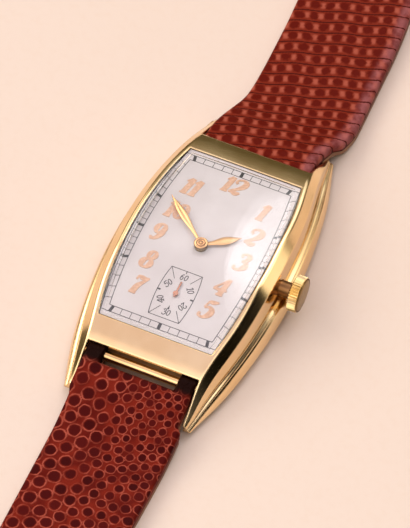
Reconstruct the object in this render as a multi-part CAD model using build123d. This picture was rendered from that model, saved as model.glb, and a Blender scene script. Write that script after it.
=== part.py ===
from build123d import *
from math import atan2, cos, hypot, pi, radians, sin, sqrt
import os

# Case, seen from above: +Y points at 12 o'clock, +X at the crown, z = 0 is the flat back.
DIAL_TOP_HEIGHT = 6.3
DIAL_THICKNESS = 0.4
DIAL_ARCH_RADIUS = 125.0
BEZEL_RISE = 1.15
RIDGE_ARCH_RADIUS = 54.0
RIDGE_HALF_WIDTH = 8.95
HOOD_HALF_LENGTH = 16.5
HOOD_LIP = 0.4
FLANK_HALF_WIDTH = 11.75
FLANK_HOOD_HALF_WIDTH = 9.7
LUG_GAP = 14.4
LUG_LENGTH = 4.85
LUG_TIP_RIDGE_INSET = 0.15
LUG_TIP_OUTER_HALF_WIDTH = 8.2
LUG_TIP_TOP = 1.9
LUG_TIP_BASE = 0.75
CASE_BASE = 0.5
HOOD_OVERHANG = 1.3
# Across and down from the ridge, as shares of the flank's spread and of its height.
FLANK_PROFILE_SHARES = (
    (0.0, 0.0),
    (0.10, 0.015),
    (0.46, 0.19),
    (0.60, 0.555),
    (0.78, 0.59),
    (0.75, 0.615),
    (0.84, 0.64),
    (0.93, 0.735),
    (1.0, 0.88),
    (0.93, 1.0),
)

# Opening for the crystal and the movement.
OPENING_HALF_WIDTH = 8.65
OPENING_END_HALF_WIDTH = 7.35
OPENING_HALF_LENGTH = 13.3
CRYSTAL_CLEARANCE = 0.02
CRYSTAL_DOME = 0.85
CRYSTAL_END_DOME = 0.12
CRYSTAL_RIM = 0.6
CRYSTAL_EDGE_STAND = 0.04
CRYSTAL_HOLLOW_SHARE = 0.62
CRYSTAL_EDGE_HOLLOW_SHARE = 0.4

# Case back, which snaps into the opening from below.
BACK_PLATE = 0.5
BACK_LIP = 0.3
BACK_INSET = 0.55
BACK_END_HALF_WIDTH = 9.55
BACK_EDGE_ROUND = 0.18
BACK_CLEARANCE = 0.04

# Movement levels, from the back towards the dial.
MOVEMENT_CLEARANCE = 0.12
BRIDGE_CLEARANCE = 0.15
BRIDGE_THICKNESS = 0.7
TRAIN_SPACE = 1.65
PLATE_THICKNESS = 1.6
PIVOT_RADIUS = 0.1
STAFF_RADIUS = 0.2
PIVOT_CLEARANCE = 0.03
LEVEL_GAP = 0.1
BRIDGE_SPLIT_Y = -1.0
COCK_SPLIT_X = 1.4

# Going train: tooth counts, modules and wheel thicknesses.
BARREL_TEETH = 72
CENTRE_PINION_TEETH = 10
BARREL_MODULE = 0.14
CENTRE_TEETH = 64
THIRD_PINION_TEETH = 8
CENTRE_MODULE = 0.12
THIRD_TEETH = 60
FOURTH_PINION_TEETH = 8
THIRD_MODULE = 0.11
FOURTH_TEETH = 70
ESCAPE_PINION_TEETH = 7
FOURTH_MODULE = 0.09
WHEEL_THICKNESS = 0.18
PINION_LENGTH = 0.4
WHEEL_RIM = 0.45
SPOKE_WIDTH = 0.36
SPOKES = 4
ADDENDUM_SHARE = 0.8
DEDENDUM_SHARE = 1.15
TOOTH_ROOT_SHARE = 0.27
TOOTH_TIP_SHARE = 0.12

# Barrel.
DRUM_RADIUS = 4.7
DRUM_HEIGHT = 0.95
DRUM_WALL = 0.35
DRUM_FLOOR = 0.15
COVER_THICKNESS = 0.13
ARBOR_RADIUS = 0.9
ARBOR_PIVOT_RADIUS = 0.4
MAINSPRING_THICKNESS = 0.16
MAINSPRING_TURNS = 6
MAINSPRING_CORE_RADIUS = 1.3
MAINSPRING_HEIGHT = 0.5

# Escapement and balance.
SMALL_SECONDS_DISTANCE = 7.3
ESCAPE_SIDE_SHARE = 0.837
PALLET_DIRECTION = 77.6
BALANCE_DIRECTION = 77.4
ESCAPE_TEETH = 15
ESCAPE_RADIUS = 2.2
ESCAPE_ROOT_RADIUS = 1.65
ESCAPE_LEAN_SHARE = 0.45
ESCAPE_PALLET_DISTANCE = 2.62
PALLET_BALANCE_DISTANCE = 3.85
PALLET_THICKNESS = 0.2
PALLET_ARM_WIDTH = 0.34
PALLET_STONE_LENGTH = 0.66
PALLET_SPREAD_SHARE = 0.72
FORK_WIDTH = 0.42
FORK_SLOT_WIDTH = 0.2
FORK_SLOT_LENGTH = 0.35
FORK_TIP_GAP = 0.3
BALANCE_RADIUS = 2.75
BALANCE_RIM = 0.34
BALANCE_THICKNESS = 0.4
BALANCE_SCREWS = 12
BALANCE_SCREW_RADIUS = 0.12
BALANCE_SCREW_LENGTH = 0.2
BALANCE_HUB_RADIUS = 0.5
ROLLER_RADIUS = 0.55
ROLLER_THICKNESS = 0.15
IMPULSE_PIN_RADIUS = 0.07
HAIRSPRING_TURNS = 9
HAIRSPRING_CORE_RADIUS = 0.5
HAIRSPRING_OUTER_RADIUS = 1.7
HAIRSPRING_THICKNESS = 0.05
HAIRSPRING_HEIGHT = 0.12
HAIRSPRING_STUD_RADIUS = 0.12

# Motion work, under the dial.
CANNON_TEETH = 12
MINUTE_WHEEL_TEETH = 36
CANNON_MODULE = 0.125
MINUTE_PINION_TEETH = 10
HOUR_WHEEL_TEETH = 40
HOUR_MODULE = 0.12
MINUTE_WHEEL_ANGLE = 150.0
CANNON_RADIUS = 0.45
CANNON_BORE = 0.25
HOUR_PIPE_RADIUS = 0.7
HOUR_PIPE_BORE = 0.5
DIAL_CENTRE_HOLE = 0.8
DIAL_SECONDS_HOLE = 0.25
MOTION_WHEEL_THICKNESS = 0.22
HOUR_WHEEL_DROP = 0.08
MINUTE_STUD_RADIUS = 0.22

# Hands.
HAND_THICKNESS = 0.12
HOUR_HAND_LIFT = 0.25
HAND_SPACING = 0.13
HUB_TALLER = 0.1
MINUTE_HAND_LENGTH = 7.9
MINUTE_HAND_ANGLE = 309.6
MINUTE_HAND_WIDTH = 1.05
MINUTE_HUB_RADIUS = 0.86
HOUR_HAND_LENGTH = 4.9
HOUR_HAND_ANGLE = 55.0
HOUR_HAND_WIDTH = 1.15
HOUR_HUB_RADIUS = 0.8
HAND_NECK_WIDTH = 0.5
HAND_TIP_WIDTH = 0.08
HAND_WIDEST_SHARE = 0.6
SECONDS_HAND_LENGTH = 1.75
SECONDS_HAND_TAIL = 0.5
SECONDS_HAND_WIDTH = 0.2
SECONDS_HUB_RADIUS = 0.32

# Winding and setting work.
CROWN_RADIUS = 2.25
CROWN_THICKNESS = 1.5
CROWN_GAP = 0.2
CROWN_FLUTES = 44
CROWN_FLUTE_RADIUS = 0.11
CROWN_FACE_ROUND = 0.25
CROWN_SKIRT_RECESS = 0.45
CROWN_TUBE_RADIUS = 1.0
STEM_RADIUS = 0.4
STEM_CLEARANCE = 0.05
STEM_INNER_X = 3.6
STEM_GROOVE_RADIUS = 0.25
STEM_GROOVE_WIDTH = 0.45
STEM_PIVOT_LENGTH = 0.8
WINDING_PINION_TEETH = 12
WINDING_PINION_RADIUS = 1.45
WINDING_PINION_LENGTH = 0.8
WINDING_PINION_X = 6.4
CLUTCH_RADIUS = 0.95
CLUTCH_LENGTH = 0.8
CLUTCH_GAP = 0.1
RATCHET_TEETH = 53
CROWN_WHEEL_TEETH = 21
RATCHET_MODULE = 0.19
CROWN_WHEEL_ANGLE = 36.2
RATCHET_THICKNESS = 0.25
CROWN_WHEEL_BOSS_RADIUS = 1.1
CLICK_LENGTH = 1.5
CLICK_WIDTH = 0.5
CLICK_BOSS_RADIUS = 0.4
CLICK_ANGLE = 128.0
CLICK_SPRING_WIDTH = 0.16
CLICK_SPRING_LENGTH = 2.2
CLUTCH_SHIFT = 0.6
SETTING_LEVER_THICKNESS = 0.3
YOKE_THICKNESS = 0.3
YOKE_WIDTH = 0.4
YOKE_LENGTH = 4.5
LEVER_REACH = 2.8
LEVER_TAIL = 0.4

# Screws and jewels.
SCREW_HEAD_RADIUS = 0.5
SCREW_HEAD_HEIGHT = 0.3
SCREW_SHANK_RADIUS = 0.28
SCREW_SLOT_WIDTH = 0.14
SCREW_SLOT_DEPTH = 0.12
SCREW_CLEARANCE = 0.03
JEWEL_RADIUS = 0.4
JEWEL_THICKNESS = 0.25
CLAMP_HALF_WIDTH = 0.9
CLAMP_THICKNESS = 0.3
CLAMP_REACH = 0.6
CLAMP_INBOARD = 1.8
DIAL_SCREW_RADIUS = 0.22
DIAL_FOOT_RADIUS = 0.3

# Strap bars between the lugs.
BAR_SETBACK = 0.5
BAR_BELOW_LIP = 1.067
BAR_RADIUS = 0.6
BAR_END_GAP = 0.1
BAR_PIN_RADIUS = 0.32
BAR_PIN_REACH = 0.55
BAR_PIN_INSIDE = 2.2
BAR_PIN_CLEARANCE = 0.03
LUG_HOLE_RADIUS = 0.38
LUG_HOLE_DEPTH = 0.7

# Straps.
STRAP_THICKNESS = 2.0
LINING_THICKNESS = 0.7
STRAP_LOOP_LEATHER = 0.52
STRAP_LOOP_CLEARANCE = 0.05
STRAP_LUG_CLEARANCE = 0.2
STRAP_DROP_LENGTH = 12.0
STRAP_SHOULDER_GAP = 1.05
STRAP_SHOULDER_RUN = 0.8
STRAP_SHOULDER_WIDTH = 15.3
STRAP_NOTCH_WIDTH = 9.6
STRAP_NOTCH_DEPTH = 1.6
STRAP_12_LENGTH = 75.0
STRAP_12_END_WIDTH = 12.4
STRAP_6_LENGTH = 115.0
STRAP_6_END_WIDTH = 12.2
STRAP_POINT_LENGTH = 9.0
STRAP_POINT_HALF_WIDTH = 1.6
STRAP_HOLES = 7
STRAP_HOLE_RADIUS = 0.9
STRAP_HOLE_PITCH = 6.5
STRAP_HOLE_END = 24.0
STRAP_RISE = 0.95
STRAP_RISE_START = 42.0
STRAP_RISE_LENGTH = 9.0

# Buckle and keepers.
BUCKLE_BAR_RADIUS = 0.6
BUCKLE_LOOP_LEATHER = 0.6
BUCKLE_SLOT_WIDTH = 2.8
BUCKLE_SLOT_DEPTH = 3.0
BUCKLE_SIDE_CLEARANCE = 0.35
BUCKLE_ARM_WIDTH = 1.5
BUCKLE_RAIL_WIDTH = 1.9
BUCKLE_REACH = 9.0
BUCKLE_HEEL = 1.4
BUCKLE_THICKNESS = 1.6
BUCKLE_ROUND = 1.8
BUCKLE_EDGE_ROUND = 0.3
TONGUE_WIDTH = 1.3
TONGUE_THICKNESS = 0.8
TONGUE_LOOP_RADIUS = 1.2
TONGUE_CLEARANCE = 0.06
TONGUE_OVERHANG = 0.7
KEEPER_WALL = 0.8
KEEPER_LENGTH = 5.0
KEEPER_CLEARANCE = 0.12
FREE_KEEPER_CLEARANCE = 0.35
FIXED_KEEPER_INBOARD = 7.5
FREE_KEEPER_INBOARD = 16.0

OVERRUN = 1.0

# Levels and places that follow from the sizes above.
DIAL_BASE = DIAL_TOP_HEIGHT - DIAL_THICKNESS
BACK_INSIDE = BACK_PLATE + BACK_LIP
BRIDGE_BASE = BACK_INSIDE + BRIDGE_CLEARANCE
BRIDGE_TOP = BRIDGE_BASE + BRIDGE_THICKNESS
PLATE_BASE = BRIDGE_TOP + TRAIN_SPACE
PLATE_TOP = PLATE_BASE + PLATE_THICKNESS
STEM_HEIGHT = PLATE_BASE + PLATE_THICKNESS / 2
BEZEL_TOP = DIAL_TOP_HEIGHT + BEZEL_RISE
GAP_HALF = LUG_GAP / 2
END_WALL_Y = HOOD_HALF_LENGTH - HOOD_OVERHANG
LUG_HALF_SPAN = HOOD_HALF_LENGTH + LUG_LENGTH
HOOD_DROP = RIDGE_ARCH_RADIUS - sqrt(RIDGE_ARCH_RADIUS**2 - HOOD_HALF_LENGTH**2)
HOOD_LIP_BASE = BEZEL_TOP - HOOD_DROP - HOOD_LIP
BAR_Y = HOOD_HALF_LENGTH + BAR_SETBACK
BAR_HEIGHT = HOOD_LIP_BASE - BAR_BELOW_LIP


def pitch_distance(first_teeth, second_teeth, module):
    return (first_teeth + second_teeth) * module / 2


def below_and_right(origin, distance, side_share):
    """A place at a distance below origin, with a share of it to the right."""
    across = distance * side_share
    return (origin[0] + across, origin[1] - sqrt(distance**2 - across**2))


CENTRE = (0.0, 0.0)
BARREL_PLACE = (0.0, pitch_distance(BARREL_TEETH, CENTRE_PINION_TEETH, BARREL_MODULE))
THIRD_DISTANCE = pitch_distance(CENTRE_TEETH, THIRD_PINION_TEETH, CENTRE_MODULE)
FOURTH_DISTANCE = pitch_distance(THIRD_TEETH, FOURTH_PINION_TEETH, THIRD_MODULE)
FOURTH_PLACE = (0.0, -SMALL_SECONDS_DISTANCE)
THIRD_SQUARES = SMALL_SECONDS_DISTANCE**2 + THIRD_DISTANCE**2 - FOURTH_DISTANCE**2
THIRD_Y = -THIRD_SQUARES / (2 * SMALL_SECONDS_DISTANCE)
THIRD_PLACE = (-sqrt(THIRD_DISTANCE**2 - THIRD_Y**2), THIRD_Y)
ESCAPE_DISTANCE = pitch_distance(FOURTH_TEETH, ESCAPE_PINION_TEETH, FOURTH_MODULE)
ESCAPE_PLACE = below_and_right(FOURTH_PLACE, ESCAPE_DISTANCE, ESCAPE_SIDE_SHARE)
PALLET_ANGLE = radians(PALLET_DIRECTION)
BALANCE_ANGLE = radians(BALANCE_DIRECTION)
PALLET_PLACE = (
    ESCAPE_PLACE[0] + ESCAPE_PALLET_DISTANCE * cos(PALLET_ANGLE),
    ESCAPE_PLACE[1] + ESCAPE_PALLET_DISTANCE * sin(PALLET_ANGLE),
)
BALANCE_PLACE = (
    PALLET_PLACE[0] + PALLET_BALANCE_DISTANCE * cos(BALANCE_ANGLE),
    PALLET_PLACE[1] + PALLET_BALANCE_DISTANCE * sin(BALANCE_ANGLE),
)
MOTION_DISTANCE = pitch_distance(CANNON_TEETH, MINUTE_WHEEL_TEETH, CANNON_MODULE)
MINUTE_WHEEL_PLACE = (
    MOTION_DISTANCE * cos(radians(MINUTE_WHEEL_ANGLE)),
    MOTION_DISTANCE * sin(radians(MINUTE_WHEEL_ANGLE)),
)
RATCHET_DISTANCE = pitch_distance(RATCHET_TEETH, CROWN_WHEEL_TEETH, RATCHET_MODULE)
CROWN_WHEEL_PLACE = (
    BARREL_PLACE[0] + RATCHET_DISTANCE * cos(radians(CROWN_WHEEL_ANGLE)),
    BARREL_PLACE[1] - RATCHET_DISTANCE * sin(radians(CROWN_WHEEL_ANGLE)),
)

# Train levels: the centre wheel lies against the plate, the others step down to the bridges.
CENTRE_WHEEL_TOP = PLATE_BASE - LEVEL_GAP
CENTRE_WHEEL_BASE = CENTRE_WHEEL_TOP - WHEEL_THICKNESS
DRUM_TOP = CENTRE_WHEEL_BASE - LEVEL_GAP
DRUM_BASE = DRUM_TOP - DRUM_HEIGHT
THIRD_WHEEL_TOP = CENTRE_WHEEL_BASE - LEVEL_GAP - PALLET_THICKNESS - LEVEL_GAP
THIRD_WHEEL_BASE = THIRD_WHEEL_TOP - WHEEL_THICKNESS
FOURTH_WHEEL_TOP = THIRD_WHEEL_BASE - LEVEL_GAP
FOURTH_WHEEL_BASE = FOURTH_WHEEL_TOP - WHEEL_THICKNESS
PALLET_BASE = THIRD_WHEEL_TOP + LEVEL_GAP
BALANCE_TOP = PALLET_BASE - LEVEL_GAP - ROLLER_THICKNESS
BALANCE_BASE = BALANCE_TOP - BALANCE_THICKNESS

# Hand levels, up from the dial.
HOUR_HAND_BASE = DIAL_TOP_HEIGHT + HOUR_HAND_LIFT
MINUTE_HAND_BASE = HOUR_HAND_BASE + HAND_THICKNESS + HAND_SPACING
CANNON_TOP = MINUTE_HAND_BASE + HAND_THICKNESS

# Crown and stem places along the stem.
CROWN_INNER_X = FLANK_HALF_WIDTH + CROWN_GAP
CROWN_OUTER_X = CROWN_INNER_X + CROWN_THICKNESS

# Strap places.
STRAP_LUG_HALF_WIDTH = GAP_HALF - STRAP_LUG_CLEARANCE
STRAP_LOOP_BORE = BAR_RADIUS + STRAP_LOOP_CLEARANCE
STRAP_LOOP_RADIUS = STRAP_LOOP_BORE + STRAP_LOOP_LEATHER
BUCKLE_Y = BAR_Y + STRAP_12_LENGTH
BUCKLE_LOOP_BORE = BUCKLE_BAR_RADIUS + STRAP_LOOP_CLEARANCE
BUCKLE_LOOP_RADIUS = BUCKLE_LOOP_BORE + BUCKLE_LOOP_LEATHER
BUCKLE_BAR_HEIGHT = STRAP_RISE + BUCKLE_LOOP_RADIUS
BUCKLE_HALF_OPENING = STRAP_12_END_WIDTH / 2 + BUCKLE_SIDE_CLEARANCE


def disc(radius, bottom, top, place=CENTRE):
    cylinder = Cylinder(radius, top - bottom, align=(Align.CENTER, Align.CENTER, Align.MIN))
    return Pos(place[0], place[1], bottom) * cylinder


def rod(radius, start_x, end_x, y, z):
    cylinder = Cylinder(radius, end_x - start_x, align=(Align.CENTER, Align.CENTER, Align.MIN))
    return Pos(start_x, y, z) * (Rot(0, 90, 0) * cylinder)


def block(x_range, y_range, z_range):
    size = (x_range[1] - x_range[0], y_range[1] - y_range[0], z_range[1] - z_range[0])
    corner_box = Box(*size, align=(Align.MIN, Align.MIN, Align.MIN))
    return Pos(x_range[0], y_range[0], z_range[0]) * corner_box


def turned(shape, degrees_about_z, place=CENTRE):
    return Pos(place[0], place[1], 0) * (Rot(0, 0, degrees_about_z) * shape)


def tonneau(half_width, end_half_width, half_length):
    right = ThreePointArc((end_half_width, -half_length), (half_width, 0), (end_half_width, half_length))
    left = ThreePointArc((-end_half_width, half_length), (-half_width, 0), (-end_half_width, -half_length))
    top = Line((end_half_width, half_length), (-end_half_width, half_length))
    bottom = Line((-end_half_width, -half_length), (end_half_width, -half_length))
    return Face(Wire([right, top, left, bottom]))


def opening_prism(inset, bottom, top):
    outline = tonneau(
        OPENING_HALF_WIDTH - inset,
        OPENING_END_HALF_WIDTH - inset,
        OPENING_HALF_LENGTH - inset,
    )
    return Pos(0, 0, bottom) * extrude(outline, top - bottom)


def side_prism(points_or_edges, half_width):
    """A side outline, given as edges in Y and Z, run across the watch along X."""
    face = Face(Wire(points_or_edges))
    solid = Solid.extrude(face, Vector(2 * half_width, 0, 0))
    return Pos(-half_width, 0, 0) * solid


def arch_drop(y, radius):
    return radius - sqrt(radius**2 - y**2)


def dial_surface(y):
    return DIAL_TOP_HEIGHT - arch_drop(y, DIAL_ARCH_RADIUS)


def above_arch(base_height, half_length, ceiling, half_width):
    """Everything between an arched surface of the dial's radius and a ceiling."""
    drop = arch_drop(half_length, DIAL_ARCH_RADIUS)
    arc = ThreePointArc(
        (0, -half_length, base_height - drop),
        (0, 0, base_height),
        (0, half_length, base_height - drop),
    )
    far_side = Line((0, half_length, base_height - drop), (0, half_length, ceiling))
    lid = Line((0, half_length, ceiling), (0, -half_length, ceiling))
    near_side = Line((0, -half_length, ceiling), (0, -half_length, base_height - drop))
    return side_prism([arc, far_side, lid, near_side], half_width)


def ridge_at(y):
    """Half-width and height of the raised box's upper edge at y."""
    along = min(abs(y) / HOOD_HALF_LENGTH, 1)
    half_width = RIDGE_HALF_WIDTH - (RIDGE_HALF_WIDTH - GAP_HALF) * along**2
    height = BEZEL_TOP - arch_drop(along * HOOD_HALF_LENGTH, RIDGE_ARCH_RADIUS)
    beyond = max(abs(y) - HOOD_HALF_LENGTH, 0) / (LUG_HALF_SPAN - HOOD_HALF_LENGTH)
    half_width -= LUG_TIP_RIDGE_INSET * beyond
    height -= (height - LUG_TIP_TOP) * beyond
    return half_width, height


def flank_at(y):
    """Half-width of the widest line of the flank, and the height of its base, at y."""
    along = min(abs(y) / HOOD_HALF_LENGTH, 1)
    half_width = FLANK_HALF_WIDTH - (FLANK_HALF_WIDTH - FLANK_HOOD_HALF_WIDTH) * along**2
    beyond = max(abs(y) - HOOD_HALF_LENGTH, 0) / (LUG_HALF_SPAN - HOOD_HALF_LENGTH)
    half_width -= (FLANK_HOOD_HALF_WIDTH - LUG_TIP_OUTER_HALF_WIDTH) * beyond
    base = CASE_BASE + (LUG_TIP_BASE - CASE_BASE) * beyond
    return half_width, base


def case_section(y):
    ridge_x, ridge_z = ridge_at(y)
    flank_x, base_z = flank_at(y)
    spread = flank_x - ridge_x
    height = ridge_z - base_z
    right = [(ridge_x + across * spread, ridge_z - down * height) for across, down in FLANK_PROFILE_SHARES]
    left = [(-x, z) for x, z in reversed(right)]
    points = [Vector(x, y, z) for x, z in right + left]
    return Wire.make_polygon(points, close=True)


def mirrored_stations(half_stations):
    behind = [-y for y in reversed(half_stations) if y > 0]
    return behind + list(half_stations)


def case_blank():
    lug_length = LUG_HALF_SPAN - HOOD_HALF_LENGTH
    half_stations = [0] + [HOOD_HALF_LENGTH * step / 3 for step in (1, 2, 3)]
    half_stations += [HOOD_HALF_LENGTH + lug_length * step / 2 for step in (1, 2)]
    sections = [case_section(y) for y in mirrored_stations(half_stations)]
    return Solid.make_loft(sections)


def strap_gap_cuts():
    outside = LUG_HALF_SPAN + OVERRUN
    across = (-GAP_HALF, GAP_HALF)
    cuts = []
    for side in (-1, 1):
        under_hood = sorted((side * END_WALL_Y, side * outside))
        past_hood = sorted((side * HOOD_HALF_LENGTH, side * outside))
        cuts.append(block(across, under_hood, (-OVERRUN, HOOD_LIP_BASE)))
        cuts.append(block(across, past_hood, (-OVERRUN, BEZEL_TOP)))
    return cuts


def case_body():
    body = case_blank()
    reach = LUG_HALF_SPAN + OVERRUN
    body -= block((-reach, reach), (-reach, reach), (-OVERRUN, CASE_BASE))
    for cut in strap_gap_cuts():
        body -= cut
    body -= opening_prism(0, -OVERRUN, BEZEL_TOP + OVERRUN)
    body -= rod(CROWN_TUBE_RADIUS, OPENING_HALF_WIDTH - OVERRUN, FLANK_HALF_WIDTH + OVERRUN, 0, STEM_HEIGHT)
    hole_reach = GAP_HALF + LUG_HOLE_DEPTH
    for side in (-1, 1):
        body -= rod(LUG_HOLE_RADIUS, -hole_reach, hole_reach, side * BAR_Y, BAR_HEIGHT)
        notch_half_width = CLAMP_HALF_WIDTH + MOVEMENT_CLEARANCE
        notch_reach = OPENING_HALF_LENGTH + CLAMP_REACH + MOVEMENT_CLEARANCE
        notch_y = sorted((side * (OPENING_HALF_LENGTH - OVERRUN), side * notch_reach))
        notch_z = (PLATE_BASE - CLAMP_THICKNESS - MOVEMENT_CLEARANCE, PLATE_BASE + MOVEMENT_CLEARANCE)
        body -= block((-notch_half_width, notch_half_width), notch_y, notch_z)
    return body


def case_back():
    base_half_width = FLANK_HALF_WIDTH - BACK_INSET
    plate_outline = tonneau(
        base_half_width,
        BACK_END_HALF_WIDTH,
        END_WALL_Y - BACK_INSET,
    )
    plate = extrude(plate_outline, BACK_PLATE)
    plate = fillet(plate.edges().group_by(Axis.Z)[0], BACK_EDGE_ROUND)
    lip = opening_prism(BACK_CLEARANCE, BACK_PLATE, BACK_INSIDE)
    return plate + lip


def crystal_dome(y):
    along = abs(y) / OPENING_HALF_LENGTH
    return CRYSTAL_END_DOME + (CRYSTAL_DOME - CRYSTAL_END_DOME) * (1 - along**2)


def crystal_section(y, half_width, bottom, edge, middle):
    arc = ThreePointArc((half_width, y, edge), (0, y, middle), (-half_width, y, edge))
    left = Line((-half_width, y, edge), (-half_width, y, bottom))
    floor = Line((-half_width, y, bottom), (half_width, y, bottom))
    right = Line((half_width, y, bottom), (half_width, y, edge))
    return Wire([arc, left, floor, right])


def crystal_loft(half_length, inset, edge_share, middle_share, floor_drop):
    sections = []
    for step in range(-3, 4):
        y = half_length * step / 3
        dial_z = dial_surface(y)
        edge = ridge_at(y)[1] + CRYSTAL_EDGE_STAND
        middle = edge + crystal_dome(y)
        shared_edge = dial_z + (edge - dial_z) * edge_share
        shared_middle = dial_z + (middle - dial_z) * middle_share
        floor = dial_z + CRYSTAL_CLEARANCE - floor_drop
        half_width = RIDGE_HALF_WIDTH - inset
        sections.append(crystal_section(y, half_width, floor, shared_edge, shared_middle))
    return Solid.make_loft(sections)


def crystal():
    outside = crystal_loft(OPENING_HALF_LENGTH, 0, 1, 1, 0)
    outside &= opening_prism(CRYSTAL_CLEARANCE, 0, BEZEL_TOP + OVERRUN + CRYSTAL_DOME)
    hollow_length = OPENING_HALF_LENGTH - CRYSTAL_RIM
    hollow = crystal_loft(hollow_length, 0, CRYSTAL_EDGE_HOLLOW_SHARE, CRYSTAL_HOLLOW_SHARE, OVERRUN)
    hollow &= opening_prism(CRYSTAL_RIM, 0, BEZEL_TOP + OVERRUN)
    return outside - hollow


def dial():
    plate = opening_prism(MOVEMENT_CLEARANCE, 0, DIAL_TOP_HEIGHT)
    reach = OPENING_HALF_LENGTH + OVERRUN
    shell = above_arch(DIAL_BASE, reach, BEZEL_TOP, RIDGE_HALF_WIDTH)
    shell -= above_arch(DIAL_TOP_HEIGHT, reach, BEZEL_TOP, RIDGE_HALF_WIDTH)
    plate &= shell
    plate -= disc(DIAL_CENTRE_HOLE, DIAL_BASE - OVERRUN, BEZEL_TOP)
    plate -= disc(DIAL_SECONDS_HOLE, DIAL_BASE - OVERRUN, BEZEL_TOP, FOURTH_PLACE)
    for place in dial_foot_places():
        foot_top = DIAL_BASE - arch_drop(place[1], DIAL_ARCH_RADIUS) + DIAL_THICKNESS / 2
        plate += disc(DIAL_FOOT_RADIUS, PLATE_TOP - PLATE_THICKNESS / 2, foot_top, place)
    return plate


def dial_foot_places():
    inboard = OPENING_HALF_LENGTH - CLAMP_INBOARD
    across = OPENING_END_HALF_WIDTH / 2
    return [(across, inboard), (-across, -inboard)]


def gear_outline(teeth, module, phase):
    pitch_radius = teeth * module / 2
    tip_radius = pitch_radius + ADDENDUM_SHARE * module
    root_radius = pitch_radius - DEDENDUM_SHARE * module
    step = 2 * pi / teeth
    points = []
    for tooth in range(teeth):
        middle = phase + tooth * step
        for radius, share in (
            (root_radius, -TOOTH_ROOT_SHARE),
            (tip_radius, -TOOTH_TIP_SHARE),
            (tip_radius, TOOTH_TIP_SHARE),
            (root_radius, TOOTH_ROOT_SHARE),
        ):
            angle = middle + share * step
            points.append((radius * cos(angle), radius * sin(angle)))
    return Polygon(*points, align=None)


def gear(teeth, module, bottom, top, place=CENTRE, phase=0.0):
    return Pos(place[0], place[1], bottom) * extrude(gear_outline(teeth, module, phase), top - bottom)


def meshed_phase(from_place, to_place, from_teeth, from_phase, to_teeth):
    """The phase that puts a tooth gap of the second wheel over a tooth of the first."""
    line = atan2(to_place[1] - from_place[1], to_place[0] - from_place[0])
    from_step = 2 * pi / from_teeth
    to_step = 2 * pi / to_teeth
    tooth_fraction = ((line - from_phase) / from_step) % 1
    return line + pi + tooth_fraction * to_step - to_step / 2


def spoke_windows(pitch_radius, bottom, top, place, hub_radius):
    """The openings between a wheel's spokes."""
    rim_inside = pitch_radius - WHEEL_RIM
    ring = disc(rim_inside, bottom, top, place) - disc(hub_radius, bottom, top, place)
    spoke = block((-rim_inside, rim_inside), (-SPOKE_WIDTH / 2, SPOKE_WIDTH / 2), (bottom, top))
    for step in range(SPOKES // 2):
        ring -= turned(spoke, step * 360 / SPOKES, place)
    return ring


def spoked_wheel(teeth, module, bottom, place, phase):
    top = bottom + WHEEL_THICKNESS
    wheel = gear(teeth, module, bottom, top, place, phase)
    hub_radius = STAFF_RADIUS + WHEEL_RIM
    return wheel - spoke_windows(teeth * module / 2, bottom, top, place, hub_radius)


def staff(place, bottom, top):
    """A staff between two bearings, with its thinner pivots."""
    shaft = disc(STAFF_RADIUS, bottom + JEWEL_THICKNESS, top - JEWEL_THICKNESS, place)
    return shaft + disc(PIVOT_RADIUS, bottom, top, place)


BEARING_BASE = BRIDGE_TOP - JEWEL_THICKNESS
BEARING_TOP = PLATE_BASE + JEWEL_THICKNESS
CENTRE_PHASE = 0.0
CENTRE_PINION_PHASE = 0.0
BARREL_PHASE = meshed_phase(CENTRE, BARREL_PLACE, CENTRE_PINION_TEETH, CENTRE_PINION_PHASE, BARREL_TEETH)
THIRD_PHASE = meshed_phase(CENTRE, THIRD_PLACE, CENTRE_TEETH, CENTRE_PHASE, THIRD_PINION_TEETH)
FOURTH_PHASE = meshed_phase(THIRD_PLACE, FOURTH_PLACE, THIRD_TEETH, THIRD_PHASE, FOURTH_PINION_TEETH)
ESCAPE_PHASE = meshed_phase(FOURTH_PLACE, ESCAPE_PLACE, FOURTH_TEETH, FOURTH_PHASE, ESCAPE_PINION_TEETH)
MINUTE_PHASE = meshed_phase(CENTRE, MINUTE_WHEEL_PLACE, CANNON_TEETH, 0.0, MINUTE_WHEEL_TEETH)
HOUR_PHASE = meshed_phase(MINUTE_WHEEL_PLACE, CENTRE, MINUTE_PINION_TEETH, MINUTE_PHASE, HOUR_WHEEL_TEETH)
CROWN_WHEEL_PHASE = meshed_phase(BARREL_PLACE, CROWN_WHEEL_PLACE, RATCHET_TEETH, 0.0, CROWN_WHEEL_TEETH)


def centre_wheel():
    wheel = spoked_wheel(CENTRE_TEETH, CENTRE_MODULE, CENTRE_WHEEL_BASE, CENTRE, CENTRE_PHASE)
    pinion_base = DRUM_TOP - PINION_LENGTH
    wheel += gear(
        CENTRE_PINION_TEETH, BARREL_MODULE, pinion_base, CENTRE_WHEEL_BASE, CENTRE, CENTRE_PINION_PHASE
    )
    wheel += disc(CANNON_BORE, BEARING_BASE, CANNON_TOP)
    return wheel


def third_wheel():
    wheel = spoked_wheel(THIRD_TEETH, THIRD_MODULE, THIRD_WHEEL_BASE, THIRD_PLACE, THIRD_PHASE)
    pinion_base = CENTRE_WHEEL_BASE - LEVEL_GAP
    wheel += gear(
        THIRD_PINION_TEETH, CENTRE_MODULE, pinion_base, CENTRE_WHEEL_TOP, THIRD_PLACE, THIRD_PHASE
    )
    return wheel + staff(THIRD_PLACE, BEARING_BASE, BEARING_TOP)


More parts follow.
